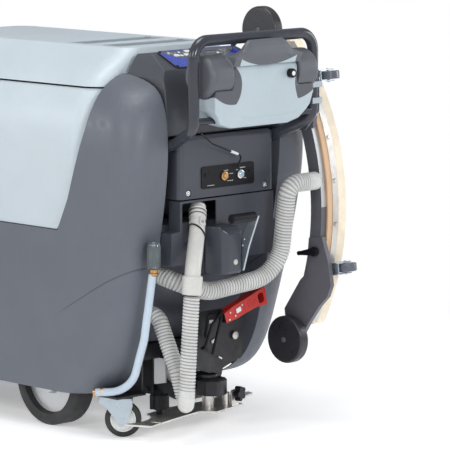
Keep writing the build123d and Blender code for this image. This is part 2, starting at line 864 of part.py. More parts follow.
with BuildPart() as squeegee_arm:
    for left_face in (74, -66):
        with BuildSketch(at_y(left_face)):
            with BuildLine():
                Polyline(*arm_side, close=True)
            make_face()
        extrude(amount=8)
    with BuildSketch(at_y(94)):
        with Locations(arm_pivot_at):
            Circle(arm_pin_r)
    extrude(amount=188)
    # rear crosshead with the vertical swivel pin
    with BuildSketch(at_z(104)):
        with Locations((crosshead_x, 0)):
            Rectangle(crosshead_length, 148)
    extrude(amount=30)
    with BuildSketch(at_z(143)):
        with Locations((-324, 0)):
            Rectangle(54, 50)
        with Locations((pivot_x, 0)):
            Circle(25)
    extrude(amount=8)
    with BuildSketch(at_z(120)):
        with Locations((crosshead_x, 0)):
            Rectangle(crosshead_length, 50)
    extrude(amount=31)
    with BuildSketch(at_z(66)):
        with Locations((pivot_x, 0)):
            Circle(pivot_pin_r)
    extrude(amount=80)
save(squeegee_arm.part, "squeegee_arm")

# ---------------------------------------------------------------- swivel block and bracket
# level plane through the swivel axis, turned with the mount
mount_angle = math.radians(mount_turn)
mount_plane = Plane(origin=(pivot_x, 0, 0),
                    x_dir=(math.cos(mount_angle), math.sin(mount_angle), 0), z_dir=(0, 0, 1))
# plan outlines on the mount plane
block_plan = [(17, -34), (17, 34), (-16, 38), (-44, 28), (-50, 16), (-50, -16), (-44, -28),
              (-16, -38)]
bracket_plan = [(-8, -236), (14, -250), (50, -140), (52, -60), (88, 60), (92, 158), (114, 316),
                (54, 322), (-6, 310), (-10, 130), (-14, 66), (-56, 46), (-62, -30), (-62, -86),
                (-12, -108)]
caster_swing_r = 101
tab_plane = Plane(origin=mount_plane.from_local_coords((-47.5, -60, 80)),
                  x_dir=mount_plane.y_dir, z_dir=-mount_plane.x_dir)
star_plane = Plane(origin=mount_plane.from_local_coords((-52.7, -60, 93)),
                   x_dir=mount_plane.y_dir, z_dir=-mount_plane.x_dir)
star_shank_r = 4
clamp_at = (-325, 165)

with BuildPart() as swivel_block:
    with BuildSketch(mount_plane.offset(96)):
        with BuildLine():
            Polyline(*block_plan, close=True)
        make_face()
        Circle(pivot_pin_r + fit_gap, mode=Mode.SUBTRACT)
    extrude(amount=46)
    chamfer(swivel_block.faces().sort_by(Axis.Z)[-1].outer_wire().edges(), 6)
save(swivel_block.part, "swivel_block")

with BuildPart() as squeegee_bracket:
    with BuildSketch(mount_plane.offset(55)):
        with BuildLine():
            Polyline(*bracket_plan, close=True)
        make_face()
        # left caster's swing clearance over the mount's own swivel travel
        for turn in (-6, -3, 0, 3, 6):
            swing_at = Vector(caster_x - pivot_x, caster_y, 0).rotate(Axis.Z, turn - mount_turn)
            with Locations((swing_at.X, swing_at.Y)):
                Circle(caster_swing_r, mode=Mode.SUBTRACT)
        # open slot that takes the squeegee's stud
        with Locations((0, 262)):
            Rectangle(40, 12, mode=Mode.SUBTRACT)
        Circle(pivot_pin_r + fit_gap, mode=Mode.SUBTRACT)
    extrude(amount=5)
    # boss under the block and a plain post beside it
    with BuildSketch(mount_plane.offset(59)):
        Circle(17)
        Circle(pivot_pin_r + fit_gap, mode=Mode.SUBTRACT)
        with Locations((-30, -46)):
            Circle(10)
    extrude(amount=36.8)
    # the star knob's upright tab
    with BuildSketch(tab_plane):
        RectangleRounded(40, 46, 8)
        with Locations((0, -13)):
            Circle(star_shank_r + fit_gap, mode=Mode.SUBTRACT)
    extrude(amount=5)
save(squeegee_bracket.part, "squeegee_bracket")

with BuildPart() as star_knob:
    with BuildSketch(star_plane.offset(4)):
        Circle(15)
        with PolarLocations(14, 5):
            Circle(7.5)
    extrude(amount=17)
    with BuildSketch(star_plane.offset(-14)):
        Circle(star_shank_r)
    extrude(amount=19)
save(star_knob.part, "star_knob")

with BuildPart() as clamp_knob:
    with BuildSketch(at_z(74)):
        with Locations(clamp_at):
            Circle(21)
            with PolarLocations(19, 6):
                Circle(8)
    extrude(amount=42)
    chamfer(clamp_knob.faces().sort_by(Axis.Z)[-1].outer_wire().edges(), 4)
    with BuildSketch(at_z(60.5)):
        with Locations(clamp_at):
            Circle(9)
    extrude(amount=14)
save(clamp_knob.part, "clamp_knob")

# ---------------------------------------------------------------- left swivel caster
half_root = math.sqrt(0.5)         # the fork trails at 45 degrees, rearwards and to the right
trail_dir = (-half_root, -half_root, 0)
fork_plane = Plane(origin=(caster_x, caster_y, 0), x_dir=trail_dir,
                   z_dir=(-half_root, half_root, 0))
fork_top = 103
# side outline of a fork cheek: distance along the trail, Z
fork_profile = [(-24, fork_top), (-24, 96), (-6, 84), (26, 42), (36, 34), (46, 36), (54, 48),
                (66, 86), (66, fork_top)]
caster_axle_r = 5

with BuildPart() as caster_fork_left:
    for cheek_face in (15.5, -18.5):
        with BuildSketch(fork_plane.offset(cheek_face)):
            with BuildLine():
                Polyline(*fork_profile, close=True)
            make_face()
        extrude(amount=3)
    with BuildSketch(Plane(origin=(caster_x, caster_y, fork_top), x_dir=trail_dir)):
        with Locations((21, 0)):
            RectangleRounded(92, 38, 10)
    extrude(amount=4)
    # swivel head
    with BuildSketch(at_z(fork_top + 4)):
        with Locations((caster_x, caster_y)):
            Circle(27)
    extrude(amount=5.3)
    # axle
    with BuildSketch(fork_plane.offset(-21)):
        with Locations((caster_trail, caster_r)):
            Circle(caster_axle_r)
    extrude(amount=42)
save(caster_fork_left.part, "caster_fork_left")

with BuildPart() as caster_wheel_left:
    with BuildSketch(fork_plane.offset(-caster_w / 2)):
        with Locations((caster_trail, caster_r)):
            Circle(caster_r)
            Circle(caster_axle_r + fit_gap, mode=Mode.SUBTRACT)
    extrude(amount=caster_w)
    fillet(caster_wheel_left.edges().filter_by(
        lambda edge: edge.geom_type == GeomType.CIRCLE and edge.radius > 40), 6)
save(caster_wheel_left.part, "caster_wheel_left")

# ---------------------------------------------------------------- transaxle and drive wheels
axle_half = 288

with BuildPart() as transaxle:
    with BuildSketch(at_z(72)):
        RectangleRounded(130, 250, 20)
    extrude(amount=116)
    # pads under the chassis
    with BuildSketch(at_z(188)):
        with Locations((0, 90), (0, -90)):
            Rectangle(38, 40)
    extrude(amount=11.8)
    with BuildSketch(at_y(axle_half)):
        with Locations((0, wheel_r)):
            Circle(axle_r)
    extrude(amount=2 * axle_half)
    # round housing pointing forwards
    with BuildSketch(at_x(64)):
        with Locations((0, 130)):
            Circle(52)
    extrude(amount=150)
save(transaxle.part, "transaxle")

# half section of the left wheel: radius, distance to the left of its middle
wheel_profile = [(axle_r + fit_gap, -30), (36, -30), (40, -18), (92, -18), (96, -32),
                 (120, -35), (wheel_r, -28), (wheel_r, 28), (120, 35), (96, 32), (92, 14),
                 (40, 14), (36, 34), (axle_r + fit_gap, 34)]


def drive_wheel(side):
    """Drive wheel; side is 1 for the left, -1 for the right."""
    centre = (0, side * wheel_y, wheel_r)
    with BuildPart() as wheel:
        with BuildSketch(Plane(origin=centre, x_dir=(1, 0, 0), z_dir=(0, 0, 1))):
            with BuildLine():
                Polyline(*[(x, side * y) for x, y in wheel_profile], close=True)
            make_face()
        revolve(axis=Axis(origin=centre, direction=(0, 1, 0)))
    return wheel.part


save(drive_wheel(1), "drive_wheel_left")
save(drive_wheel(-1), "drive_wheel_right")

# ---------------------------------------------------------------- brush deck
skirt_z = 20 + deck_lift           # lower edge of the deck
deck_height = 44
roof_z = skirt_z + deck_height     # top of the deck
lift_rod_at = (520, 0)
lift_rod_r = 9
motor_shaft_r = 10

with BuildPart() as brush_deck:
    with BuildSketch(at_z(skirt_z)):
        with Locations(*brush_spots):
            Circle(brush_r + 18)
        with Locations((brush_x, 0)):
            Rectangle(2 * brush_r - 30, 2 * brush_y)
    extrude(amount=deck_height)
    with BuildSketch(at_z(skirt_z)):
        with Locations(*brush_spots):
            Circle(brush_r + 13)
        with Locations((brush_x, 0)):
            Rectangle(2 * brush_r - 40, 2 * brush_y)
    extrude(amount=deck_height - 6, mode=Mode.SUBTRACT)
    # motor shaft holes
    with BuildSketch(at_z(skirt_z + 30)):
        with Locations(*brush_spots):
            Circle(14)
    extrude(amount=30, mode=Mode.SUBTRACT)
    # lift yoke and rod
    with BuildSketch(at_z(roof_z - 1)):
        with Locations((556, 0)):
            Rectangle(130, 60)
    extrude(amount=9)
    with BuildSketch(at_z(roof_z)):
        with Locations(lift_rod_at):
            Circle(lift_rod_r)
    extrude(amount=142)
save(brush_deck.part, "brush_deck")

with BuildPart() as deck_actuator:
    with BuildSketch(at_z(142)):
        with Locations(lift_rod_at):
            Circle(22)
        with Locations((515, 0)):
            Rectangle(38, 20)
    extrude(amount=120)
    with BuildSketch(at_z(140)):
        with Locations(lift_rod_at):
            Circle(lift_rod_r + fit_gap)
    extrude(amount=104, mode=Mode.SUBTRACT)
save(deck_actuator.part, "deck_actuator")

with BuildPart() as brush_motors:
    with BuildSketch(at_z(roof_z + 0.2)):
        with Locations(*brush_spots):
            Circle(46)
    extrude(amount=150)
    chamfer(brush_motors.faces().group_by(Axis.Z)[-1].edges(), 8)
    with BuildSketch(at_z(40 + deck_lift)):
        with Locations(*brush_spots):
            Circle(motor_shaft_r)
    extrude(amount=26)
save(brush_motors.part, "brush_motors")


def brush(spot):
    """Disc brush: a flat plate over a ring of bristles."""
    with BuildPart() as body:
        with BuildSketch(at_z(42 + deck_lift)):
            with Locations(spot):
                Circle(brush_r)
                Circle(motor_shaft_r + fit_gap, mode=Mode.SUBTRACT)
        extrude(amount=12)
        with BuildSketch(at_z(deck_lift)):
            with Locations(spot):
                Circle(brush_r - 2)
                Circle(brush_r - 74, mode=Mode.SUBTRACT)
        extrude(amount=43)
    return body.part


for side, spot in zip(("left", "right"), brush_spots):
    save(brush(spot), f"brush_{side}")

# ---------------------------------------------------------------- vacuum motor in the column
with BuildPart() as vacuum_motor:
    with BuildSketch(at_z(660)):
        with Locations((column_x, 0)):
            Circle(50)
    extrude(amount=60)
    with BuildSketch(at_z(718)):
        with Locations((column_x, 0)):
            Circle(36)
    extrude(amount=80)
save(vacuum_motor.part, "vacuum_motor")

# ---------------------------------------------------------------- handle loop
loop_left = [(-300, 197, 765), (-425, 197, 806), (loop_x, loop_half, loop_bottom),
             (loop_x, loop_half, loop_top)]
loop_right = [(x, -y, z) for x, y, z in reversed(loop_left)]
loop_tube = tube_along(loop_left + loop_right, [40, 45, 48, 48, 45, 40], radius=tube_r)

with BuildPart() as handle_loop:
    add(loop_tube)
    # crossbar through the pod
    with BuildSketch(at_y(loop_half)):
        with Locations(crossbar_at):
            Circle(9)
    extrude(amount=2 * loop_half)
save(handle_loop.part, "handle_loop")

# ---------------------------------------------------------------- control pod on the crossbar
# side outline: X, Z
pod_side = [(-566, pod_axis_z), (-563, 930), (-553, 880), (-538, 848), (-494, 848), (-472, 880),
            (-465, 930), (-464, pod_axis_z)]
# left half of the front outline: Y, Z
pod_front = mirrored([(108, 848), (150, 860), (180, 896), (186, 930), (186, pod_axis_z)])
pod_wall = 4
barrel_half = 122          # half length of the barrel between the paddle's ears
barrel_r = 50
ear_r = 58.5               # room for the paddle's ears
ear_length = 90
paddle_shaft_r = 8
knob_at = (-90, 985)       # speed knob: Y, Z
knob_shaft_r = 3


def raised_floor(z):
    """Lifts the points at the bottom of an outline by the pod's wall."""
    return z + pod_wall if z < 900 else z


def pod_body(side, front, half_length, ear_radius, barrel_radius):
    """Pod trimmed to both outlines, with room for the ears and a round barrel between them."""
    with BuildPart() as body:
        with BuildSketch(at_y(200)):
            with BuildLine():
                Polyline(*side, close=True)
            make_face()
        extrude(amount=400)
        with BuildSketch(at_x(-600)):
            with BuildLine():
                Polyline(*front, close=True)
            make_face()
        extrude(amount=160, mode=Mode.INTERSECT)
        for left_face in (-half_length, half_length + ear_length):
            with BuildSketch(at_y(left_face)):
                with Locations(pod_axis):
                    Circle(ear_radius)
            extrude(amount=ear_length, mode=Mode.SUBTRACT)
        with BuildSketch(at_y(half_length)):
            with Locations(pod_axis):
                Circle(barrel_radius)
        extrude(amount=2 * half_length)
    return body.part


pod_core = pod_body([(pod_axis_x + (x - pod_axis_x) * 0.9, raised_floor(z)) for x, z in pod_side],
                    [(y * 0.97, raised_floor(z)) for y, z in pod_front],
                    barrel_half - pod_wall, ear_r + pod_wall, barrel_r - pod_wall)
pod_shell = pod_body(pod_side, pod_front, barrel_half, ear_r, barrel_r)

with BuildPart() as control_pod:
    add(pod_shell)
    add(pod_core, mode=Mode.SUBTRACT)
    # crossbar passage, paddle bearings and the speed knob's hole
    with BuildSketch(at_y(200)):
        with Locations(crossbar_at):
            Circle(9.4)
    extrude(amount=400, mode=Mode.SUBTRACT)
    with BuildSketch(at_y(130)):
        with Locations(pod_axis):
            Circle(paddle_shaft_r + fit_gap)
    extrude(amount=260, mode=Mode.SUBTRACT)
    with BuildSketch(at_x(-574)):
        with Locations(knob_at):
            Circle(knob_shaft_r + fit_gap)
    extrude(amount=30, mode=Mode.SUBTRACT)
save(control_pod.part, "control_pod")

# ---------------------------------------------------------------- drive paddle
paddle_half = 203
pocket_half = 123.9
bridge_half = 126
# side outline of the bridge between the ears: X, Z
bridge_side = [(-572, 1014), (-579, 1040), (-577, 1062), (-569, 1078), (-560, 1081),
               (-555, 1074), (-548, 1052), (-530, 1045), (-500, 1043), (-478, 1030),
               (-462, 1014)]
# left half of the region above the hump: Y, Z
above_hump = mirrored([(70, 1084), (98, 1070), (124, 1047), (210, 1047), (210, 1120)])

with BuildPart() as drive_paddle:
    with BuildSketch(at_y(paddle_half)):
        with Locations(pod_axis):
            Circle(57)
    extrude(amount=2 * paddle_half)
    fillet(drive_paddle.edges().filter_by(GeomType.CIRCLE), 15)
    # pocket over the pod's barrel
    with BuildSketch(at_y(pocket_half)):
        with Locations(pod_axis):
            Circle(57.5)
    extrude(amount=2 * pocket_half, mode=Mode.SUBTRACT)
    with BuildSketch(at_y(bridge_half)):
        with BuildLine():
            Polyline(*bridge_side, close=True)
        make_face()
        with Locations(pod_axis):
            Circle(51.5, mode=Mode.SUBTRACT)
        with Locations((pod_axis_x, 990)):
            Rectangle(140, 48, mode=Mode.SUBTRACT)
    extrude(amount=2 * bridge_half)
    # the hump falls away to the ears
    with BuildSketch(at_x(-600)):
        with BuildLine():
            Polyline(*above_hump, close=True)
        make_face()
    extrude(amount=200, mode=Mode.SUBTRACT)
    # stub shafts in the pod's bearings
    for left_end in (126, -113):
        with BuildSketch(at_y(left_end)):
            with Locations(pod_axis):
                Circle(paddle_shaft_r)
        extrude(amount=13)
save(drive_paddle.part, "drive_paddle")

# ---------------------------------------------------------------- speed knob
with BuildPart() as speed_knob:
    with BuildSketch(at_x(-581)):
        with Locations(knob_at):
            Circle(12.5)
    extrude(amount=14)
    chamfer(speed_knob.faces().sort_by(Axis.X)[0].edges(), 2)
    with BuildSketch(at_x(-568)):
        with Locations(knob_at):
            Circle(knob_shaft_r)
    extrude(amount=14)
save(speed_knob.part, "speed_knob")

# ---------------------------------------------------------------- storage hook, handle's right arm
# side outline of the plate: X, Z
hook_side = [(-530, 962), (-530, 868), (-478, 812), (-440, 812), (-440, 838), (-470, 838),
             (-512, 880), (-512, 962)]

with BuildPart() as storage_hook:
    with BuildSketch(at_y(-242)):
        with BuildLine():
            Polyline(*hook_side, close=True)
        make_face()
    extrude(amount=4)
    # saddle clamps on the tube
    for clamp_bottom in (936, 892):
        with BuildSketch(at_z(clamp_bottom)):
            with Locations((loop_x, -loop_half)):
                Rectangle(38, 38)
                Circle(tube_r + fit_gap, mode=Mode.SUBTRACT)
        extrude(amount=16)
    with BuildSketch(at_y(-244)):
        with Locations(peg_at):
            Circle(6)
    extrude(amount=34)
save(storage_hook.part, "storage_hook")


# ---------------------------------------------------------------- squeegee assembly
def squeegee_plane(y):
    """Upright plane at machine Y; local x runs up the chord, local y rearwards to the bulge.

    Its normal, and so extrusion, points to -Y, the squeegee's floor side.
    """
    return Plane(origin=(chord_mid.X, y, chord_mid.Z), x_dir=(chord_dir.X, 0, chord_dir.Z),
                 z_dir=(0, -1, 0))


def on_squeegee(spot):
    """Local position on a squeegee plane of a machine (X, Z) position."""
    local = squeegee_plane(0).to_local_coords(Vector(spot[0], 0, spot[1]))
    return (local.X, local.Y)


def band_outline(inner, outer, half_angle):
    """Outline of an arc band between two radii; call inside BuildLine."""
    outer_arc = CenterArc((0, arc_centre), outer, 90 - half_angle, 2 * half_angle)
    inner_arc = CenterArc((0, arc_centre), inner, 90 - half_angle, 2 * half_angle)
    Line(outer_arc @ 0, inner_arc @ 0)
    Line(outer_arc @ 1, inner_arc @ 1)


# outline of the upper end casting: along the chord, towards the bulge
casting = [(-150, 91), (-150, 140), (-217, 156), (-284, 159), (-315, 142), (-342, 107),
           (-388, 62), (-452, 8), (-452, -22), (-404, -24), (-345, -25), (-266, 45),
           (-248, 70), (-200, 80)]
peg_local = on_squeegee(peg_at)
peg_hole_r = 6.6
spigot_local = on_squeegee(inlet_at)
disc_axle_r = 7
# start Y, depth, inner radius, outer radius, half angle
# first the stiffening wall of the rear blade, then the front blade's wall
frame_walls = [(-264, 40, 677, 683, 34), (-264, 36, 647, 651, 31)]
# rear blade, front blade
blade_bands = [(-280, 72, 683.5, 689, 35), (-280, 70, 642.5, 646.5, 33)]

with BuildPart() as squeegee_frame:
    with BuildSketch(squeegee_plane(-260)):
        with BuildLine():
            band_outline(643, 683, 24)
        make_face()
        with Locations(peg_local):
            Circle(peg_hole_r, mode=Mode.SUBTRACT)
    extrude(amount=6)
    for start_y, depth, inner, outer, half_angle in frame_walls:
        with BuildSketch(squeegee_plane(start_y)):
            with BuildLine():
                band_outline(inner, outer, half_angle)
            make_face()
        extrude(amount=depth)
    # end castings
    with BuildSketch(squeegee_plane(-257)):
        for end in (1, -1):
            with BuildLine():
                Polyline(*[(end * x, y) for x, y in casting], close=True)
            make_face()
    extrude(amount=14)
    # stub axles of the bumper discs
    with BuildSketch(squeegee_plane(-216)):
        with Locations((-chord_half, 0), (chord_half, 0)):
            Circle(disc_axle_r)
    extrude(amount=42)
    # suction spigot at the middle
    with BuildSketch(squeegee_plane(-228)):
        with Locations(spigot_local):
            Circle(18.5)
    extrude(amount=33)
    with BuildSketch(squeegee_plane(-227)):
        with Locations(spigot_local):
            Circle(15.5)
    extrude(amount=42, mode=Mode.SUBTRACT)
    # peg hole of the storage hook
    with BuildSketch(squeegee_plane(-250)):
        with Locations(peg_local):
            Circle(peg_hole_r)
    extrude(amount=32, mode=Mode.SUBTRACT)
save(squeegee_frame.part, "squeegee_frame")

with BuildPart() as squeegee_blades:
    for start_y, depth, inner, outer, half_angle in blade_bands:
        with BuildSketch(squeegee_plane(start_y)):
            with BuildLine():
                band_outline(inner, outer, half_angle)
            make_face()
        extrude(amount=depth)
save(squeegee_blades.part, "squeegee_blades")

nut_plane = squeegee_plane(-309)
with BuildPart() as squeegee_strap:
    with BuildSketch(squeegee_plane(-298)):
        with BuildLine():
            band_outline(689.4, 691.4, 34.4)
        make_face()
    extrude(amount=22)
    # clamp nuts along the strap
    for turn in (-31, -20, -10, 0, 10, 20, 31):
        angle = math.radians(90 + turn)
        base, tip = [nut_plane.from_local_coords(
            (radius * math.cos(angle), arc_centre + radius * math.sin(angle), 0))
            for radius in (690, 700)]
        with BuildSketch(Plane(origin=base, z_dir=tip - base)):
            RegularPolygon(6.5, 6)
        extrude(amount=6.5)
save(squeegee_strap.part, "squeegee_strap")


def bumper_disc(along):
    """Bumper disc centred on the chord, at a distance from its middle."""
    with BuildPart() as disc:
        with BuildSketch(squeegee_plane(-219)):
            with Locations((along, 0)):
                Circle(66)
                Circle(disc_axle_r + fit_gap, mode=Mode.SUBTRACT)
        extrude(amount=32)
        fillet(disc.edges().filter_by(
            lambda edge: edge.geom_type == GeomType.CIRCLE and edge.radius > 60), 7)
    return disc.part


save(bumper_disc(-chord_half), "bumper_disc_lower")
save(bumper_disc(chord_half), "bumper_disc_upper")

# Support casters: wheel axes parallel to the chord, brackets on the castings' rim.
lower_support = (-240, 158)        # along the chord, towards the bulge
upper_support = (290, 152)
support_y = -323
support_axle_r = 4
support_wheel_w = 23
# outline of a cheek: towards -Y from the axle, towards the front
cheek_outline = [(12, -11), (12, 11), (-14, 11), (-50, 18), (-50, -14), (-14, -11)]


def across_chord(along, bulge):
    """Plane square to the chord, centred on a support caster's axis; normal up the chord."""
    return Plane(origin=squeegee_plane(support_y).from_local_coords((along, bulge, 0)),
                 x_dir=(0, -1, 0), z_dir=chord_dir)


with BuildPart() as squeegee_caster_brackets:
    for along, bulge in (lower_support, upper_support):
        for side in (-1, 1):
            with BuildSketch(across_chord(along + side * 15.5 - 1.5, bulge)):
                with BuildLine():
                    Polyline(*cheek_outline, close=True)
                make_face()
            extrude(amount=3)
        # foot plate
        foot_at = squeegee_plane(support_y + 46).from_local_coords((along, bulge, 0))
        with BuildSketch(Plane(origin=foot_at, x_dir=(chord_dir.X, 0, chord_dir.Z),
                               z_dir=(0, -1, 0))):
            RectangleRounded(34, 30, 5)
        extrude(amount=4)
        # axle
        with BuildSketch(across_chord(along - 19, bulge)):
            Circle(support_axle_r)
        extrude(amount=38)
save(squeegee_caster_brackets.part, "squeegee_caster_brackets")


def support_wheel(along, bulge):
    with BuildPart() as wheel:
        with BuildSketch(across_chord(along - support_wheel_w / 2, bulge)):
            Circle(31)
            Circle(support_axle_r + fit_gap, mode=Mode.SUBTRACT)
        extrude(amount=support_wheel_w)
        fillet(wheel.edges().filter_by(
            lambda edge: edge.geom_type == GeomType.CIRCLE and edge.radius > 20), 4)
    return wheel.part


save(support_wheel(*lower_support), "squeegee_caster_lower")
save(support_wheel(*upper_support), "squeegee_caster_upper")

# ---------------------------------------------------------------- thumb lever on the squeegee
hub_along, hub_bulge = on_squeegee((-508, 480))
tip_along, tip_bulge = on_squeegee((-452, 470))

with BuildPart() as thumb_lever:
    with BuildSketch(squeegee_plane(-244)):
        with Locations((hub_along, hub_bulge)):
            Circle(13)
        with Locations((tip_along, tip_bulge)):
            Circle(6)
        with BuildLine():
            Polyline((hub_along + 11, hub_bulge), (hub_along - 11, hub_bulge),
                     (tip_along - 5, tip_bulge), (tip_along + 5, tip_bulge), close=True)
        make_face()
    extrude(amount=9)
    with BuildSketch(squeegee_plane(-252)):
        with Locations((hub_along, hub_bulge)):
            Circle(8)
    extrude(amount=4.6)
save(thumb_lever.part, "thumb_lever")
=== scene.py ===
"""Looks for a walk-behind floor scrubber: finishes, corrugated hoses, moulded control pod, printed
panel and small hardware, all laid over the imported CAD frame.

+X is the travel direction, +Y the machine's left, +Z up. Meshes are in metres. Tables and the
arguments of the mesh builders are in millimetres, in working coordinates that start under the
drive axle; shader regions, paint and bend functions work in metres.
"""

import bpy
import bmesh
import math
import json
from mathutils import Vector, Matrix


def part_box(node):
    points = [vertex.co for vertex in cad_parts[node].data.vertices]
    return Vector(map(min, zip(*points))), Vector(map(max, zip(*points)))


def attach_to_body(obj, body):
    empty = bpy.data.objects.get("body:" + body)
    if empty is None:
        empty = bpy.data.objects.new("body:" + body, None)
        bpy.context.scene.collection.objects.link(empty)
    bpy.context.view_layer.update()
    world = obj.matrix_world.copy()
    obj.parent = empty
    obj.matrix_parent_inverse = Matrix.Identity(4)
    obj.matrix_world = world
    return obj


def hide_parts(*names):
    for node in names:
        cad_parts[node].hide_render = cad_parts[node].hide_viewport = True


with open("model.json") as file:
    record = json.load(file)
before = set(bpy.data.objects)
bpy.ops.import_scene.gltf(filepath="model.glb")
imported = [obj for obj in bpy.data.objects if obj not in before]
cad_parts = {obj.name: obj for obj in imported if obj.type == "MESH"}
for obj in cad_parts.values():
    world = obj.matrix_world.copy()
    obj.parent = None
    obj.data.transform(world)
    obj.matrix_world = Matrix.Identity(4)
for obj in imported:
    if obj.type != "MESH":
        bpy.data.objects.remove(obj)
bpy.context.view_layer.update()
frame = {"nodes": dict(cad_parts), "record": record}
scene = bpy.context.scene

MM = 0.001
FRAME_OFFSET = 0.11981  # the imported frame's origin lies this far ahead of the drive axle
SHIFT = Vector((-FRAME_OFFSET, 0.0, 0.0))
REARWARD = (-1, 0, 0)
LEFTWARD = (0, 1, 0)
UPWARD = (0, 0, 1)

# the sloping control panel: its centre, and the cosine and sine of its climb towards the front
PANEL_X, PANEL_Z = -334.5, 1017.5
PANEL_COS = 85 / math.hypot(85, 41)
PANEL_SIN = 41 / math.hypot(85, 41)

# the battery connector: its middle, and the line it lies along, rightward and up
CONNECTOR = (-398, -76, 336)
CONNECTOR_LINE = Vector((0, -math.cos(math.radians(18)), math.sin(math.radians(18))))

NODE_SLOT = {part["node"]: part.get("material_slot") for part in frame["record"]["subparts"]}
NODE_BODY = {node: body
             for body, members in frame["record"]["behaviour"]["bodies"].items()
             for node in members}


# ---------------------------------------------------------------- shader graph helpers
def connect(node, inputs):
    """Links or sets the node's inputs, given as {socket: field, socket or value}."""
    for key, value in inputs.items():
        if isinstance(value, Field):
            value = value.socket
        if isinstance(value, bpy.types.NodeSocket):
            node.id_data.links.new(value, node.inputs[key])
        else:
            node.inputs[key].default_value = value


def add_node(tree, kind, inputs=None, **settings):
    node = tree.nodes.new("ShaderNode" + kind)
    for key, value in settings.items():
        setattr(node, key, value)
    connect(node, inputs or {})
    return node


class Field:
    """A number that varies over the surface; arithmetic on it adds Math nodes."""

    def __init__(self, socket):
        self.socket = socket

    def join(self, operation, *operands):
        node = add_node(self.socket.id_data, "Math", dict(enumerate(operands)),
                        operation=operation)
        return Field(node.outputs[0])

    def __add__(self, other):
        return self.join("ADD", self, other)

    def __sub__(self, other):
        return self.join("SUBTRACT", self, other)

    def __rsub__(self, other):
        return self.join("SUBTRACT", other, self)

    def __mul__(self, other):
        return self.join("MULTIPLY", self, other)

    def __truediv__(self, other):
        return self.join("DIVIDE", self, other)

    def __pow__(self, other):
        return self.join("POWER", self, other)

    def __abs__(self):
        return self.join("ABSOLUTE", self)

    def sqrt(self):
        return self.join("SQRT", self)

    def at_least(self, other):
        return self.join("MAXIMUM", self, other)

    def times_plus(self, factor, addend):
        return self.join("MULTIPLY_ADD", self, factor, addend)

    def remap(self, source=(0.0, 1.0), target=(0.0, 1.0), **settings):
        node = add_node(self.socket.id_data, "MapRange", {
            0: self, "From Min": source[0], "From Max": source[1],
            "To Min": target[0], "To Max": target[1]}, **settings)
        return Field(node.outputs[0])

    def step(self, low, high):
        """Rises smoothly from 0 at low to 1 at high."""
        return self.remap((low, high), interpolation_type="SMOOTHSTEP")


def coordinates(position):
    split = add_node(position.id_data, "SeparateXYZ", {0: position})
    return [Field(socket) for socket in split.outputs]


def scale_colour(colour, factor):
    node = add_node(factor.socket.id_data, "VectorMath", {0: colour, "Scale": factor},
                    operation="SCALE")
    return node.outputs[0]


def mix_colour(amount, colour, rgb):
    node = add_node(colour.id_data, "Mix", {"Factor": amount, "A": colour, "B": (*rgb, 1)},
                    data_type="RGBA")
    return node.outputs["Result"]


def corner_distance(x, y, flat_x, flat_y):
    """Distance outside the rectangle flat_x by flat_y, for x and y already made positive."""
    over_x = (x - flat_x).at_least(0.0)
    over_y = (y - flat_y).at_least(0.0)
    return (over_x * over_x + over_y * over_y).sqrt()


# ---------------------------------------------------------------- colour regions, in metres
BORDER = (-0.0006, 0.0006)  # soft width of a colour border


def pod_region(position, colour):
    """Dark over-moulding at both ends of the pod; it starts further out on the right."""
    _, y, z = coordinates(position)
    side = abs(y)
    height = z - 0.962
    inner_edge = (height * height).times_plus(7.0, 0.090)
    right = 1.0 - y.step(-0.01, 0.01)
    inner_edge = right.times_plus(0.022, inner_edge)
    outside = (side - inner_edge).step(*BORDER)
    reach = side - 0.118
    low_edge = (reach * reach).times_plus(5.0, 0.913)
    above = (z - low_edge).step(*BORDER)
    return mix_colour(outside * above, colour, (0.080, 0.085, 0.100))


def lid_region(position, colour):
    """Two darker rounded insets on the lid's top, one behind the other."""
    half_length, half_width, corner, blur = 0.0365, 0.150, 0.012, 0.0005
    x, y, z = coordinates(position)
    top = z.step(1.0325, 1.0330)
    side = abs(y)
    inset = None
    for centre_x in (-0.120, 0.010):
        distance = corner_distance(abs(x - (centre_x - FRAME_OFFSET)), side,
                                   half_length - corner, half_width - corner)
        one = 1.0 - distance.step(corner - blur, corner + blur)
        inset = one if inset is None else inset.at_least(one)
    return mix_colour(inset * top, colour, (0.20, 0.245, 0.275))


STRAP_Y = sum(corner.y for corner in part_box("squeegee_strap")) / 2


def blade_region(position, colour):
    """Tan rubber left of the squeegee strap's centre, and a darker brown further left."""
    _, y, _ = coordinates(position)
    tan = mix_colour(y.step(STRAP_Y - 0.001, STRAP_Y + 0.001), colour, (0.66, 0.44, 0.27))
    return mix_colour(y.step(STRAP_Y + 0.026, STRAP_Y + 0.031), tan, (0.50, 0.30, 0.17))


def paddle_region(position, colour):
    """Pod grey below a curve across the middle of the paddle."""
    centre_shift = 0.0
    _, y, z = coordinates(position)
    side = abs(y + centre_shift)
    inside = 1.0 - side.step(0.1040, 0.1052)
    reach = side / 0.088
    edge = (reach * reach).times_plus(0.0150, 1.0125)
    below = 1.0 - (z - edge).step(*BORDER)
    return mix_colour(inside * below, colour, (0.43, 0.505, 0.55))


def styling_line(position, slope, width, fade):
    """1 along a line that climbs rearwards round each wing; fades out forwards over `fade`."""
    x, _, z = coordinates(position)
    line = x.times_plus(-slope, 0.391 - slope * 0.3397)
    near = 1.0 - abs(z - line).step(*width)
    return near * (1.0 - x.step(*fade))


def crease_height(position, grain):
    """Sinks the styling line into the bump height."""
    line = styling_line(position, slope=0.56, width=(0.0006, 0.0042), fade=(-0.335, -0.300))
    return line.times_plus(-9.0, grain)


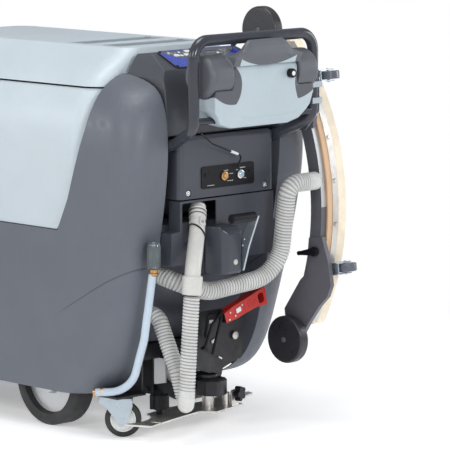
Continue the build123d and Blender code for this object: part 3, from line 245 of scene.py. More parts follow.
def crease_region(position, colour):
    """Shade caught in the styling line."""
    line = styling_line(position, slope=0.55, width=(0.0004, 0.0030), fade=(-0.30, -0.20))
    return mix_colour(line * 0.55, colour, (0.02, 0.022, 0.03))


def panel_region(position, colour):
    """A blue rounded field with a dark grey field laid over its upper part; in millimetres."""
    half_width = 134.0
    x, y, z = coordinates(position)
    rise = z.times_plus(1000 * PANEL_SIN, -PANEL_Z * PANEL_SIN)
    along = x.times_plus(1000 * PANEL_COS, (1000 * FRAME_OFFSET - PANEL_X) * PANEL_COS) + rise
    side = abs(y) * 1000.0
    blue = 1.0 - corner_distance(abs(along), side, 34.0, half_width).step(7.6, 8.4)
    low_edge = ((side / half_width) ** 2.3).times_plus(54.0, -19.0)
    grey = (along - low_edge).step(-0.4, 0.4)
    grey = grey * (1.0 - side.step(half_width - 0.4, half_width + 0.4))
    grey = grey * (1.0 - along.step(39.0, 39.8))
    backed = mix_colour(blue, colour, (0.055, 0.085, 0.42))
    return mix_colour(grey, backed, (0.105, 0.110, 0.125))


# ---------------------------------------------------------------- materials
def shade(name, colour, rough, metal=0.0, grain=900.0, grain_bump=0.12, mottle=0.10,
          mottle_scale=7.0, rough_var=0.10, edge=0.0, edge_rgb=None, brush=None, cell=False,
          coat=0.0, spec=0.5, alpha=1.0, dirt=0.0, dirt_rgb=(0.09, 0.08, 0.07), sub=0.0,
          groove=0.0, region=None, crease=None):
    """A mottled, grained surface.

    mottle, rough_var: spread of brightness and roughness    edge: wear on sharp edges
    brush: stretch of the grain    cell: cellular grain    sub: subsurface weight
    groove: painted shade in the rib valleys, by the mesh's groove attribute    region, crease: recolour, reshape bump
    """
    material = bpy.data.materials.new(name)
    material.use_nodes = True
    tree = material.node_tree
    tree.nodes.clear()

    def noise(vector, scale, detail):
        node = add_node(tree, "TexNoise", {"Vector": vector, "Scale": scale, "Detail": detail})
        return Field(node.outputs[0])

    output = add_node(tree, "OutputMaterial")
    surface = add_node(tree, "BsdfPrincipled")
    connect(output, {0: surface.outputs[0]})
    position = add_node(tree, "TexCoord").outputs["Object"]
    mapping = add_node(tree, "Mapping", {0: position})
    if brush:
        connect(mapping, {"Scale": brush})
    stretched = mapping.outputs[0]
    patches = noise(position, mottle_scale, 5.0)
    specks = noise(position, mottle_scale * 9.0, 4.0)
    if cell:
        voronoi = add_node(tree, "TexVoronoi", {"Vector": stretched, "Scale": grain})
        fine = Field(voronoi.outputs["Distance"])
    else:
        fine = noise(stretched, grain, 3.0)

    mottling = specks.times_plus(0.4, patches)
    tint = scale_colour(colour, mottling.remap((0.5, 0.9), (1.0 - mottle, 1.0 + mottle)))
    if brush or cell:
        grain_range = (0.0, 0.6) if cell else (0.2, 0.8)
        tint = scale_colour(tint, fine.remap(grain_range, (0.88, 1.10)))
    if edge > 0:
        # edges show where the bevelled normal turns away from the true one
        flat = add_node(tree, "NewGeometry").outputs["Normal"]
        bevelled = add_node(tree, "Bevel", {0: 0.0009}, samples=8).outputs[0]
        turn_away = add_node(tree, "VectorMath", {0: bevelled, 1: flat},
                             operation="DOT_PRODUCT")
        wear = Field(turn_away.outputs["Value"]).remap((0.995, 0.86), (0.0, edge)) * specks
        rgb = edge_rgb or tuple(min(1.0, c * 1.8 + 0.12) for c in colour)
        tint = mix_colour(wear, tint, rgb)
    if dirt > 0:
        stains = noise(position, 26.0, 7.0).remap((0.50, 0.72), (0.0, dirt))
        tint = mix_colour(stains, tint, dirt_rgb)
    # painted shade: the colour darkens down in the hose's rib valleys, following the groove
    # attribute
    if groove > 0:
        depth = Field(add_node(tree, "Attribute", attribute_name="groove").outputs["Fac"])
        tint = scale_colour(tint, depth.remap(target=(1.0, 1.0 - groove)))
    if region:
        tint = region(position, tint)

    rough_range = (max(0.03, rough - rough_var), min(1.0, rough + rough_var))
    height = crease(position, fine) if crease else fine
    bump = add_node(tree, "Bump", {"Strength": grain_bump, "Distance": 0.0004,
                                   "Height": height})
    connect(surface, {
        "Base Color": tint,
        "Roughness": specks.remap((0.3, 0.7), rough_range),
        "Metallic": metal,
        "Specular IOR Level": spec,
        "Coat Weight": coat,
        "Coat Roughness": 0.15,
        "Alpha": alpha,
        "Normal": bump.outputs[0],
    })
    if sub > 0:
        connect(surface, {"Subsurface Weight": sub,
                          "Subsurface Radius": (0.004, 0.003, 0.002)})
    material.diffuse_color = (*colour, 1)
    return material


LOOKS = {
    "tank_dark": dict(colour=(0.118, 0.130, 0.156), rough=0.44, grain=750, grain_bump=0.22,
                      mottle=0.05, edge=0.25, spec=0.38, crease=crease_height,
                      region=crease_region),
    "tank_light": dict(colour=(0.52, 0.59, 0.635), rough=0.42, grain=800, grain_bump=0.18,
                       mottle=0.03, edge=0.2, sub=0.03, region=lid_region),
    "inset_grey": dict(colour=(0.17, 0.215, 0.24), rough=0.62, grain=1100, grain_bump=0.45,
                       mottle=0.06),
    "console_dark": dict(colour=(0.068, 0.073, 0.088), rough=0.40, grain=750, grain_bump=0.20,
                         mottle=0.05, edge=0.25),
    "cover_dark": dict(colour=(0.052, 0.056, 0.073), rough=0.38, grain=750, grain_bump=0.20,
                       mottle=0.05, edge=0.25),
    "housing_dark": dict(colour=(0.040, 0.044, 0.060), rough=0.30, grain=500, grain_bump=0.05,
                         mottle=0.03, rough_var=0.02, coat=0.25),
    "panel_print": dict(colour=(0.026, 0.027, 0.036), rough=0.34, grain=1600, grain_bump=0.08,
                        mottle=0.05, region=panel_region),
    "panel_face": dict(colour=(0.026, 0.027, 0.036), rough=0.34, grain=1600, grain_bump=0.08,
                       mottle=0.05, edge=0.2),
    "panel_grey": dict(colour=(0.120, 0.125, 0.140), rough=0.40, grain=1600, grain_bump=0.08,
                       mottle=0.04),
    "panel_blue": dict(colour=(0.055, 0.085, 0.42), rough=0.36, grain=1600, grain_bump=0.06,
                       mottle=0.06),
    "print_white": dict(colour=(0.72, 0.74, 0.76), rough=0.45, grain=1800, grain_bump=0.05,
                        mottle=0.04),
    "print_yellow": dict(colour=(0.80, 0.62, 0.06), rough=0.45, grain=1800, grain_bump=0.05,
                         mottle=0.05),
    "button_white": dict(colour=(0.74, 0.76, 0.78), rough=0.42, grain=1400, grain_bump=0.10,
                         mottle=0.03, edge=0.2, sub=0.05),
    "black_plastic": dict(colour=(0.009, 0.009, 0.012), rough=0.36, grain=700, mottle=0.20,
                          edge=0.15, spec=0.22),
    "pod_grey": dict(colour=(0.43, 0.505, 0.55), rough=0.36, grain=700, grain_bump=0.08,
                     mottle=0.03, rough_var=0.05, region=pod_region),
    "paddle_rubber": dict(colour=(0.092, 0.098, 0.114), rough=0.46, grain_bump=0.30,
                          mottle=0.07, cell=True, region=paddle_region),
    "handle_paint": dict(colour=(0.040, 0.043, 0.056), rough=0.20, grain=700, grain_bump=0.08,
                         mottle=0.04, rough_var=0.05),
    "frame_black": dict(colour=(0.010, 0.010, 0.013), rough=0.40, grain=420, grain_bump=0.28,
                        mottle=0.25, edge=0.5, dirt=0.25),
    "zinc": dict(colour=(0.44, 0.50, 0.55), rough=0.30, metal=0.9, grain=260, grain_bump=0.10,
                 mottle=0.05, mottle_scale=9, rough_var=0.03),
    "steel": dict(colour=(0.66, 0.64, 0.61), rough=0.34, metal=0.92, grain=60, grain_bump=0.14,
                  rough_var=0.05, mottle=0.12, mottle_scale=12, brush=(1.0, 22.0, 22.0),
                  dirt=0.22, dirt_rgb=(0.22, 0.16, 0.10)),
    "chrome": dict(colour=(0.70, 0.72, 0.75), rough=0.18, metal=1.0, grain=300,
                   grain_bump=0.05),
    "brass": dict(colour=(0.62, 0.36, 0.16), rough=0.28, metal=1.0, grain=300, grain_bump=0.10,
                  mottle=0.14, edge=0.3),
    "key_steel": dict(colour=(0.38, 0.38, 0.39), rough=0.28, metal=1.0, grain=200,
                      grain_bump=0.10, mottle=0.12, edge=0.3),
    "red_plastic": dict(colour=(0.46, 0.020, 0.015), rough=0.34, grain=700, grain_bump=0.16,
                        mottle=0.12, edge=0.5, edge_rgb=(0.75, 0.16, 0.12), dirt=0.15),
    "hose_grey": dict(colour=(0.60, 0.60, 0.59), rough=0.50, grain=650, mottle=0.07,
                      mottle_scale=14, dirt=0.22, dirt_rgb=(0.30, 0.29, 0.27), sub=0.04,
                      groove=0.62),
    "drain_grey": dict(colour=(0.60, 0.595, 0.57), rough=0.42, grain=800, grain_bump=0.10,
                       mottle=0.05, mottle_scale=12, dirt=0.12, dirt_rgb=(0.34, 0.33, 0.31),
                       sub=0.04),
    "clear_tube": dict(colour=(0.60, 0.70, 0.80), rough=0.16, grain=300, grain_bump=0.05,
                       mottle=0.06, alpha=0.78, coat=0.4),
    "clear_core": dict(colour=(0.30, 0.42, 0.55), rough=0.30, grain=300, grain_bump=0.05),
    "smoke_cap": dict(colour=(0.085, 0.105, 0.115), rough=0.20, grain=300, grain_bump=0.05,
                      edge=0.5, edge_rgb=(0.45, 0.5, 0.52), coat=0.5),
    "tyre_black": dict(colour=(0.014, 0.014, 0.015), rough=0.62, grain=500, grain_bump=0.35,
                       mottle=0.25, edge=0.2, dirt=0.25, dirt_rgb=(0.10, 0.095, 0.09)),
    "rim_white": dict(colour=(0.62, 0.63, 0.62), rough=0.40, grain=600, mottle=0.08, edge=0.3,
                      dirt=0.2),
    "drive_tyre": dict(colour=(0.030, 0.030, 0.032), rough=0.66, grain=420, grain_bump=0.40,
                       mottle=0.25, edge=0.2, dirt=0.3, dirt_rgb=(0.12, 0.11, 0.10)),
    "gum_rubber": dict(colour=(0.86, 0.76, 0.60), rough=0.52, grain=500, grain_bump=0.14,
                       mottle=0.08, mottle_scale=16, dirt=0.16, dirt_rgb=(0.45, 0.34, 0.20),
                       sub=0.05, region=blade_region),
    "blade_white": dict(colour=(0.84, 0.82, 0.75), rough=0.50, grain=500, mottle=0.06,
                        mottle_scale=16, dirt=0.12, dirt_rgb=(0.50, 0.42, 0.30), sub=0.08),
    "casting_dark": dict(colour=(0.105, 0.106, 0.122), rough=0.40, grain=360, grain_bump=0.34,
                         mottle=0.12, edge=0.55),
    "bumper_black": dict(colour=(0.026, 0.025, 0.031), rough=0.36, grain=400, grain_bump=0.10,
                         mottle=0.20, edge=0.3, coat=0.1),
    "caster_poly": dict(colour=(0.10, 0.11, 0.14), rough=0.30, grain=400, grain_bump=0.08,
                        mottle=0.15, edge=0.4, coat=0.2),
    "battery_case": dict(colour=(0.035, 0.035, 0.042), rough=0.50, grain=500, grain_bump=0.25,
                         mottle=0.12, edge=0.35),
    "deck_paint": dict(colour=(0.085, 0.092, 0.108), rough=0.40, grain=420, grain_bump=0.26,
                       edge=0.5, dirt=0.15),
    "bristle": dict(colour=(0.20, 0.27, 0.46), rough=0.60, grain_bump=0.5, mottle=0.25,
                    mottle_scale=40, brush=(1.0, 1.0, 0.08)),
    "bristle_back": dict(colour=(0.10, 0.14, 0.30), rough=0.48, grain=600, grain_bump=0.20,
                         edge=0.4),
    "aluminium_cast": dict(colour=(0.56, 0.57, 0.58), rough=0.42, metal=0.85, grain=300,
                           grain_bump=0.16, mottle=0.06, rough_var=0.04, dirt=0.08,
                           dirt_rgb=(0.25, 0.24, 0.23)),
    "motor_can": dict(colour=(0.040, 0.040, 0.046), rough=0.34, grain=400, grain_bump=0.16,
                      mottle=0.15, edge=0.5),
    "orange_mark": dict(colour=(0.62, 0.20, 0.04), rough=0.50, grain_bump=0.10, mottle=0.15),
    "lens_blue": dict(colour=(0.16, 0.42, 0.56), rough=0.15, grain=500, grain_bump=0.05,
                      coat=0.6),
}
MATERIALS = {name: shade(name, **look) for name, look in LOOKS.items()}


# ---------------------------------------------------------------- objects and the frame
def new_object(name, bm, finishes, smooth_angle):
    """finishes: one material name, or a list of them."""
    mesh = bpy.data.meshes.new(name)
    bm.to_mesh(mesh)
    bm.free()
    for finish in [finishes] if isinstance(finishes, str) else finishes:
        mesh.materials.append(MATERIALS[finish])
    ob = bpy.data.objects.new(name, mesh)
    scene.collection.objects.link(ob)
    mesh.polygons.foreach_set("use_smooth", [True] * len(mesh.polygons))
    mesh.set_sharp_from_angle(angle=math.radians(smooth_angle))
    mesh.update()
    return ob


def stand_for(ob, node):
    """Puts an object already in frame coordinates in the place of a CAD node."""
    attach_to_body(ob, NODE_BODY[node])
    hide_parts(node)


def replace_node(ob, node):
    """Puts an object in working coordinates in the place of a CAD node."""
    ob.data.transform(Matrix.Translation(SHIFT))
    stand_for(ob, node)


def attach(ob, body="body"):
    """Adds an object in working coordinates that stands for no CAD node."""
    ob.data.transform(Matrix.Translation(SHIFT))
    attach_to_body(ob, body)


def add_bevel(ob, width, segments=2):
    bevel = ob.modifiers.new("bevel", "BEVEL")
    bevel.width = width * MM
    bevel.segments = segments
    bevel.limit_method = "ANGLE"
    bevel.angle_limit = math.radians(32.0)
    bevel.harden_normals = False
    bevel.use_clamp_overlap = True
    bevel.miter_outer = "MITER_ARC"
    weighted = ob.modifiers.new("weighted", "WEIGHTED_NORMAL")
    weighted.keep_sharp = True
    weighted.weight = 60


def carry(node, bevel, finishes=None, segments=2, paint=None):
    """A welded, edge-rounded copy of a CAD node; paint(centre, normal) picks the finish."""
    bm = bmesh.new()
    bm.from_mesh(frame["nodes"][node].data)
    bmesh.ops.remove_doubles(bm, verts=bm.verts, dist=2e-5)
    bmesh.ops.dissolve_degenerate(bm, dist=1e-5, edges=bm.edges)
    bmesh.ops.dissolve_limit(bm, angle_limit=math.radians(0.6), use_dissolve_boundaries=False,
                             verts=bm.verts, edges=bm.edges)
    bmesh.ops.recalc_face_normals(bm, faces=bm.faces)
    for face in bm.faces:
        centre = face.calc_center_median() - SHIFT
        face.material_index = paint(centre, face.normal) if paint else 0
    ob = new_object(node + "_v", bm, finishes or NODE_SLOT[node], 33.0)
    if bevel > 0:
        add_bevel(ob, bevel, segments)
    stand_for(ob, node)


def carry_all(**bevels):
    for node, bevel in bevels.items():
        carry(node, bevel)


def keep_outer_shell(bm):
    """Drops every loose shell but the largest, such as those that close off an inner hollow."""
    shells, seen = [], set()
    for start in bm.verts:
        if start in seen:
            continue
        seen.add(start)
        shell = [start]
        for vert in shell:  # the list grows as it is walked
            for edge in vert.link_edges:
                other = edge.other_vert(vert)
                if other not in seen:
                    seen.add(other)
                    shell.append(other)
        low = Vector([min(vert.co[k] for vert in shell) for k in range(3)])
        high = Vector([max(vert.co[k] for vert in shell) for k in range(3)])
        shells.append(((high - low).length, shell))
    shells.sort(key=lambda entry: -entry[0])
    inner = [vert for _, shell in shells[1:] for vert in shell]
    if inner:
        bmesh.ops.delete(bm, geom=inner, context="VERTS")


def moulded(node, finish, voxel, relax_steps, bend=None):
    """A soft-edged moulding grown from the CAD node's outer surface."""
    bm = bmesh.new()
    bm.from_mesh(frame["nodes"][node].data)
    bmesh.ops.remove_doubles(bm, verts=bm.verts, dist=2e-5)
    keep_outer_shell(bm)
    ob = new_object(node + "_v", bm, finish, 180.0)
    remesh = ob.modifiers.new("remesh", "REMESH")
    remesh.mode = "VOXEL"
    remesh.voxel_size = voxel * MM
    remesh.use_smooth_shade = True
    relax = ob.modifiers.new("relax", "SMOOTH")
    relax.factor = 0.5
    relax.iterations = relax_steps
    # the modifiers are applied, so that the bend acts on the final shape
    depsgraph = bpy.context.evaluated_depsgraph_get()
    mesh = bpy.data.meshes.new_from_object(ob.evaluated_get(depsgraph))
    ob.modifiers.clear()
    ob.data = mesh
    if bend:
        for vert in mesh.vertices:
            vert.co = bend(vert.co)
    mesh.polygons.foreach_set("use_smooth", [True] * len(mesh.polygons))
    stand_for(ob, node)


# ---------------------------------------------------------------- paths, in millimetres
def lay_line(path, end, step):
    start = path[-1].copy()
    count = max(1, int(round((end - start).length / step)))
    for k in range(1, count + 1):
        path.append(start.lerp(end, k / count))


def route(points, radii, step=2.0):
    """Straight runs joined by arcs of the given radii, sampled about every `step`."""
    corners = [Vector(point) for point in points]
    path = [corners[0]]
    for before, corner, after, radius in zip(corners, corners[1:], corners[2:], radii):
        back = (before - corner).normalized()
        ahead = (after - corner).normalized()
        half = back.angle(ahead) / 2
        cut = radius / math.tan(half)
        arc_start, arc_end = corner + back * cut, corner + ahead * cut
        centre = corner + (back + ahead).normalized() * (radius / math.sin(half))
        spoke_a, spoke_b = arc_start - centre, arc_end - centre
        turned = spoke_a.angle(spoke_b)
        count = max(2, int(math.ceil(radius * turned / step)))
        lay_line(path, arc_start, step)
        for k in range(1, count + 1):
            angle = turned * k / count
            path.append(centre + spoke_a * (math.sin(turned - angle) / math.sin(turned))
                        + spoke_b * (math.sin(angle) / math.sin(turned)))
    lay_line(path, corners[-1], step)
    return path


def distances(path):
    """Distance along the path to each of its points."""
    reached = [0.0]
    for a, b in zip(path, path[1:]):
        reached.append(reached[-1] + (b - a).length)
    return reached


def resample(path, count):
    reached = distances(path)
    total = reached[-1]
    points, j = [], 0
    for k in range(count):
        s = total * k / (count - 1)
        while j < len(reached) - 2 and reached[j + 1] < s:
            j += 1
        part = (s - reached[j]) / (reached[j + 1] - reached[j])
        points.append(path[j].lerp(path[j + 1], min(1, part)))
    return points, total


def point_at(path, distance):
    """The point at a distance along the path, and the direction there."""
    reached = distances(path)
    i = next(k for k in range(1, len(path)) if reached[k] >= distance)
    run = path[i] - path[i - 1]
    part = (distance - reached[i - 1]) / run.length
    return path[i - 1].lerp(path[i], part), run.normalized()


# ---------------------------------------------------------------- mesh builders
def spot(x, y, z):
    return Vector((x * MM, y * MM, z * MM))


def turn(k, count):
    """Angle of the k-th of `count` even steps round a circle."""
    return 2 * math.pi * k / count


def ease(u):
    return u * u * (3 - 2 * u)


def quad(bm, a, b, k):
    """Face k of the strip that joins two closed rings."""
    k2 = (k + 1) % len(a)
    return bm.faces.new((a[k], a[k2], b[k2], b[k]))


def bridge(bm, a, b):
    return [quad(bm, a, b, k) for k in range(len(a))]


def close_mesh(name, bm, finishes, smooth_angle):
    bmesh.ops.recalc_face_normals(bm, faces=bm.faces)
    return new_object(name, bm, finishes, smooth_angle)


def sweep(name, path, radius, finish, segments, count=None, bore=None, groove=None):
    """A tube whose radius is radius(distance, angle, total length).

    bore opens both ends 20 mm deep; groove is the radius at the crests and the depth below it
    over which the groove attribute rises to 1.
    """
    points, total = resample(path, count or len(path))
    last = len(points) - 1
    tangents = [(points[min(last, i + 1)] - points[max(0, i - 1)]).normalized()
                for i in range(last + 1)]
    up = Vector((0.31, 0.17, 0.93))
    normal = (up - tangents[0] * up.dot(tangents[0])).normalized()
    bm = bmesh.new()
    layer = bm.verts.layers.float.new("groove")
    rings = []
    for i, (point, tangent) in enumerate(zip(points, tangents)):
        if i:
            normal = (normal - tangent * normal.dot(tangent)).normalized()
        across = tangent.cross(normal)
        ring = []
        for k in range(segments):
            angle = turn(k, segments)
            r = radius(total * i / last, angle, total)
            spoke = normal * math.cos(angle) + across * math.sin(angle)
            vert = bm.verts.new((point + spoke * r) * MM)
            if groove:
                vert[layer] = min(1.0, max(0.0, (groove[0] - r) / groove[1]))
            ring.append(vert)
        rings.append(ring)
    for a, b in zip(rings, rings[1:]):
        bridge(bm, a, b)
    if bore:
        for end, inward in ((0, tangents[0]), (last, -tangents[-1])):
            centre = points[end] * MM
            inner, deep = [], []
            for vert in rings[end]:
                spoke = (vert.co - centre).normalized()
                inner.append(bm.verts.new(centre + spoke * bore * MM))
                deep.append(bm.verts.new(centre + spoke * bore * MM + inward * 0.02))
            for k in range(segments):
                quad(bm, rings[end], inner, k)
                quad(bm, inner, deep, k)
            bm.faces.new(deep)
    else:
        bm.faces.new(rings[0])
        bm.faces.new(rings[-1])
    return close_mesh(name, bm, finish, 50.0)


def axes(origin, z_dir, x_dir=None):
    """Matrix of local axes at origin; local x is x_dir made square to z_dir."""
    z = Vector(z_dir).normalized()
    x = Vector(x_dir) if x_dir else Vector(UPWARD if abs(z.z) < 0.9 else (1, 0, 0))
    x = (x - z * x.dot(z)).normalized()
    matrix = Matrix((x, z.cross(x), z)).transposed().to_4x4()
    matrix.translation = Vector(origin) * MM
    return matrix


def lathe(name, profile, matrix, finish, segments, ripple=None, smooth_angle=35.0):
    """profile: (radius, z) round the local z axis; ripple(angle, r, z) is added to the radius."""
    bm = bmesh.new()
    rings = []
    for r, z in profile:
        if r <= 1e-6:
            rings.append([bm.verts.new(matrix @ spot(0, 0, z))])
            continue
        ring = []
        for k in range(segments):
            angle = turn(k, segments)
            reach = r + (ripple(angle, r, z) if ripple else 0.0)
            ring.append(bm.verts.new(
                matrix @ spot(reach * math.cos(angle), reach * math.sin(angle), z)))
        rings.append(ring)
    for a, b in zip(rings, rings[1:]):
        if len(a) == len(b):
            bridge(bm, a, b)
            continue
        for k in range(segments):
            k2 = (k + 1) % segments
            bm.faces.new((a[0], b[k], b[k2]) if len(a) == 1 else (a[k], a[k2], b[0]))
    for ring in (rings[0], rings[-1]):
        if len(ring) > 1:
            bm.faces.new(ring)
    return close_mesh(name, bm, finish, smooth_angle)


def hex_ripple(height, low, high):
    """Six waves round the rim, for radii between low and high."""
    return lambda angle, r, z: height * math.cos(6 * angle) if low < r < high else 0.0


def band(name, centre, normal, radius_x, radius_y, width, thick, finish, x_dir=None):
    """A closed elliptical strap round the local z axis, thickest along its middle."""
    matrix = axes(centre, normal, x_dir)
    section = ((0, -width / 2), (thick * 0.8, -width / 2 + 0.5), (thick, 0),
               (thick * 0.8, width / 2 - 0.5), (0, width / 2))
    bm = bmesh.new()
    rings = []
    for k in range(48):
        angle = turn(k, 48)
        rings.append([bm.verts.new(matrix @ spot((radius_x + out) * math.cos(angle),
                                                 (radius_y + out) * math.sin(angle), z))
                      for out, z in section])
    for a, b in zip(rings, rings[1:] + rings[:1]):
        for j in range(5):
            j2 = (j + 1) % 5
            bm.faces.new((a[j], b[j], b[j2], a[j2]))
    return close_mesh(name, bm, finish, 40.0)


def prisms(name, outlines, matrix, finish, z0, z1, bevel=0.0):
    """Flat plates from outlines in local x and y, filling z0 to z1."""
    bm = bmesh.new()
    for outline in outlines:
        low = [bm.verts.new(matrix @ spot(x, y, z0)) for x, y in outline]
        top = [bm.verts.new(matrix @ spot(x, y, z1)) for x, y in outline]
        bm.faces.new(low)
        bm.faces.new(top)
        bridge(bm, low, top)
    ob = close_mesh(name, bm, finish, 30.0)
    if bevel > 0:
        add_bevel(ob, bevel)
    return ob


# outlines: centre x, centre y, then size
def rounded(x, y, width, height, corner):
    points = []
    for side_x, side_y, start in ((1, 1, 0), (-1, 1, 90), (-1, -1, 180), (1, -1, 270)):
        for k in range(6):
            angle = math.radians(start + 90 * k / 5)
            points.append((x + side_x * (width / 2 - corner) + corner * math.cos(angle),
                           y + side_y * (height / 2 - corner) + corner * math.sin(angle)))
    return points


def disc(x, y, radius, count=20, radius_y=None):
    return [(x + radius * math.cos(turn(k, count)),
             y + (radius_y or radius) * math.sin(turn(k, count))) for k in range(count)]


def bar(x, y, width, height, tilt=0.0):
    c, s = math.cos(tilt), math.sin(tilt)
    half_x, half_y = width / 2, height / 2
    return [(x + c * dx - s * dy, y + s * dx + c * dy)
            for dx, dy in ((-half_x, -half_y), (half_x, -half_y),
                           (half_x, half_y), (-half_x, half_y))]


# ---------------------------------------------------------------- tanks, console and rear
# numbers given to carry and carry_all are bevel widths in millimetres
carry_all(solution_tank=2.0, recovery_tank=1.5, recovery_lid=1.5)
carry("console", 3.0, segments=3)
carry("control_panel", 0.4, "panel_print")
carry_all(brush_button=0.6, vacuum_button=0.6, solution_button=0.6, ignition_key=0.3,
          rear_cover=1.6, cover_bolts=0.4, breaker_plate=0.6)
carry("breaker_left", 0.5, "brass")
carry_all(breaker_right=0.5, control_cable=0.0, rear_bulkhead=1.6)
moulded("lever_housing", "housing_dark", voxel=1.8, relax_steps=16)
carry_all(lift_lever=0.5, lever_grip=1.0)


# ---------------------------------------------------------------- battery, squeegee arm, wheels
def lead_paint(centre, normal):
    """Black leads at the left, lower end of the red socket."""
    return int((centre - spot(*CONNECTOR)).dot(CONNECTOR_LINE) < -0.0765)


carry("battery_socket", 1.0, ["red_plastic", "black_plastic"], paint=lead_paint)
carry_all(battery_plug=1.0, batteries=1.5, chassis=0.6, squeegee_arm=0.8, swivel_block=0.8,
          squeegee_bracket=0.6, star_knob=1.2, clamp_knob=1.0, caster_fork_left=0.5)

# caster wheel sections round the axle: (radius, distance along the axle)
CASTER_TYRE = ((33, -10), (44, -11.2), (48, -9), (49.6, -4), (49.8, 0), (49.6, 4), (48, 9),
               (44, 11.2), (33, 10), (33, -10))
CASTER_HUB = ((6.2, -11), (12, -11), (13, -8), (29, -6.5), (31.5, -10.6), (34.2, -10.6),
              (34.4, 10.6), (31.5, 10.6), (29, 6.5), (13, 8), (12, 11), (6.2, 11), (6.2, -11))


def caster_wheel(node):
    diagonal = math.sqrt(0.5)
    matrix = axes((-268.3, 246.7, 50), (-diagonal, diagonal, 0))
    replace_node(lathe(node + "_tyre", CASTER_TYRE, matrix, "tyre_black", 96), node)
    hub = lathe(node + "_hub", CASTER_HUB, matrix, "rim_white", 72)
    attach(hub, NODE_BODY[node])


def drive_hub_paint(centre, normal):
    """Cast hub within 84 mm of the drive axle."""
    spoke = centre - Vector((0, 0, 127)) * MM
    spoke.y = 0
    return int(spoke.length < 84 * MM)


caster_wheel("caster_wheel_left")
carry_all(transaxle=1.0)
for side in ("left", "right"):
    carry("drive_wheel_" + side, 1.2, ["drive_tyre", "aluminium_cast"], paint=drive_hub_paint)
carry_all(brush_deck=1.5, deck_actuator=1.0, brush_motors=1.0, vacuum_motor=1.0,
          handle_loop=0.0)

# ---------------------------------------------------------------- control pod and drive paddle
POD_LOW, POD_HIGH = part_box("control_pod")
POD_HALF_STEP = 0.150  # the step runs this far to each side


def pod_step(co):
    """The pod's rear face stands a little prouder below a line along its foot."""
    reach = abs(co.y) / POD_HALF_STEP
    if co.x > (POD_LOW.x + POD_HIGH.x) / 2 or abs(co.y) > POD_HALF_STEP:
        return co
    edge = 0.026 + 0.016 * reach ** 4
    below = min(1.0, max(0.0, (POD_LOW.z + edge - co.z) / 0.005))
    return Vector((co.x - 0.0032 * ease(below) * (1 - reach ** 6), co.y, co.z))


# the paddle top's rise: (distance from the middle, rise)
PADDLE_RISE = ((0, 1.5), (60, 1.0), (96, -21.0), (112, -20.0), (134, -4.0), (150, 0.0))


def paddle_rise(side):
    for (y0, rise0), (y1, rise1) in zip(PADDLE_RISE, PADDLE_RISE[1:]):
        if y0 <= side <= y1:
            return rise0 + (rise1 - rise0) * ease((side - y0) / (y1 - y0))
    return 0.0


def paddle_crown(co):
    """The paddle's top rises in the middle and drops at the shoulders beside it."""
    share = min(1.0, max(0.0, (co.z - 1.022) / 0.052))
    return Vector((co.x, co.y, co.z + paddle_rise(abs(co.y) * 1000) * MM * share))


moulded("control_pod", "pod_grey", voxel=2.2, relax_steps=9, bend=pod_step)
moulded("drive_paddle", "paddle_rubber", voxel=2.0, relax_steps=9, bend=paddle_crown)
carry_all(speed_knob=0.5, storage_hook=0.5)


# ---------------------------------------------------------------- squeegee
def frame_paint(centre, normal):
    """Light bare metal on the curved faces at the outer radius, above 600 mm: partly the rim's
    real metal, partly a painted highlight along the rim.
    """
    spoke = Vector((centre.x - 0.1588, 0, centre.z - 0.5906))
    return int(spoke.length > 0.6815 and abs(normal.dot(spoke.normalized())) > 0.9
               and abs(normal.y) < 0.2 and centre.z > 0.60)


carry("squeegee_frame", 0.8, ["casting_dark", "aluminium_cast"], paint=frame_paint)
carry_all(squeegee_blades=0.4, squeegee_strap=0.3, bumper_disc_lower=1.0,
          bumper_disc_upper=1.0, squeegee_caster_brackets=0.5, squeegee_caster_lower=0.6,
          squeegee_caster_upper=0.6, thumb_lever=0.8)

# ---------------------------------------------------------------- corrugated hoses
SAMPLES_PER_RIB = 9
CREST_TRIM = 0.2   # taken off the ribbed radius
CREST_LIGHT = 0.3  # the groove shade starts this far inside the hose radius


def valley(s, angle, pitch):
    """0 on a rib's crest, 1 in the valley; the ribs wind round as one helix."""
    phase = (s / pitch + angle / (2 * math.pi)) % 1.0
    return abs(2 * phase - 1) ** 2.2


def corrugated(name, path, node, radius, hose_radius, pitch, depth, bore=None):
    count = int(distances(path)[-1] / pitch * SAMPLES_PER_RIB)
    hose = sweep(name, path, radius, "hose_grey", 40, count, bore,
                 groove=(hose_radius - CREST_LIGHT, depth))
    replace_node(hose, node)


DRAIN = dict(hose_radius=22.3, pitch=8.6, depth=2.9)
DRAIN_POINTS = ((-476, 190.3, 402), (-481, 216, 108), (-441, 180, 108), (-420, 190, 190),
                (-345, 186, 330), (-262, 186, 344))


def drain_radius(s, angle, total):
    """Plain cuffs at both ends and an almost smooth stretch at the low bend."""
    cuff_start, cuff_end = 4, 10
    calm_start, calm_end = 250, 330
    left = total - cuff_end - s
    if s < cuff_start:
        return 19.6
    if left < 0:
        return 19.5
    ramp = min(1.0, (s - cuff_start) / 6.0, left / 6.0)
    if calm_start < s < calm_end:
        ramp *= max(0.10, 1 - min(s - calm_start, calm_end - s) / 8.0)
    sag = 0.15 * math.sin(s * 0.043 + 2.1 * math.sin(angle))
    groove = DRAIN["depth"] * valley(s, angle, DRAIN["pitch"])
    return DRAIN["hose_radius"] - groove * ramp + sag * ramp - CREST_TRIM


VACUUM = dict(hose_radius=25.0, pitch=8.4, depth=3.1)
VACUUM_POINTS = ((-505, -257, 675), (-505, -148, 675), (-472, -146, 425), (-424, 80, 395),
                 (-400, 176, 430), (-340, 186, 447), (-262, 186, 448))


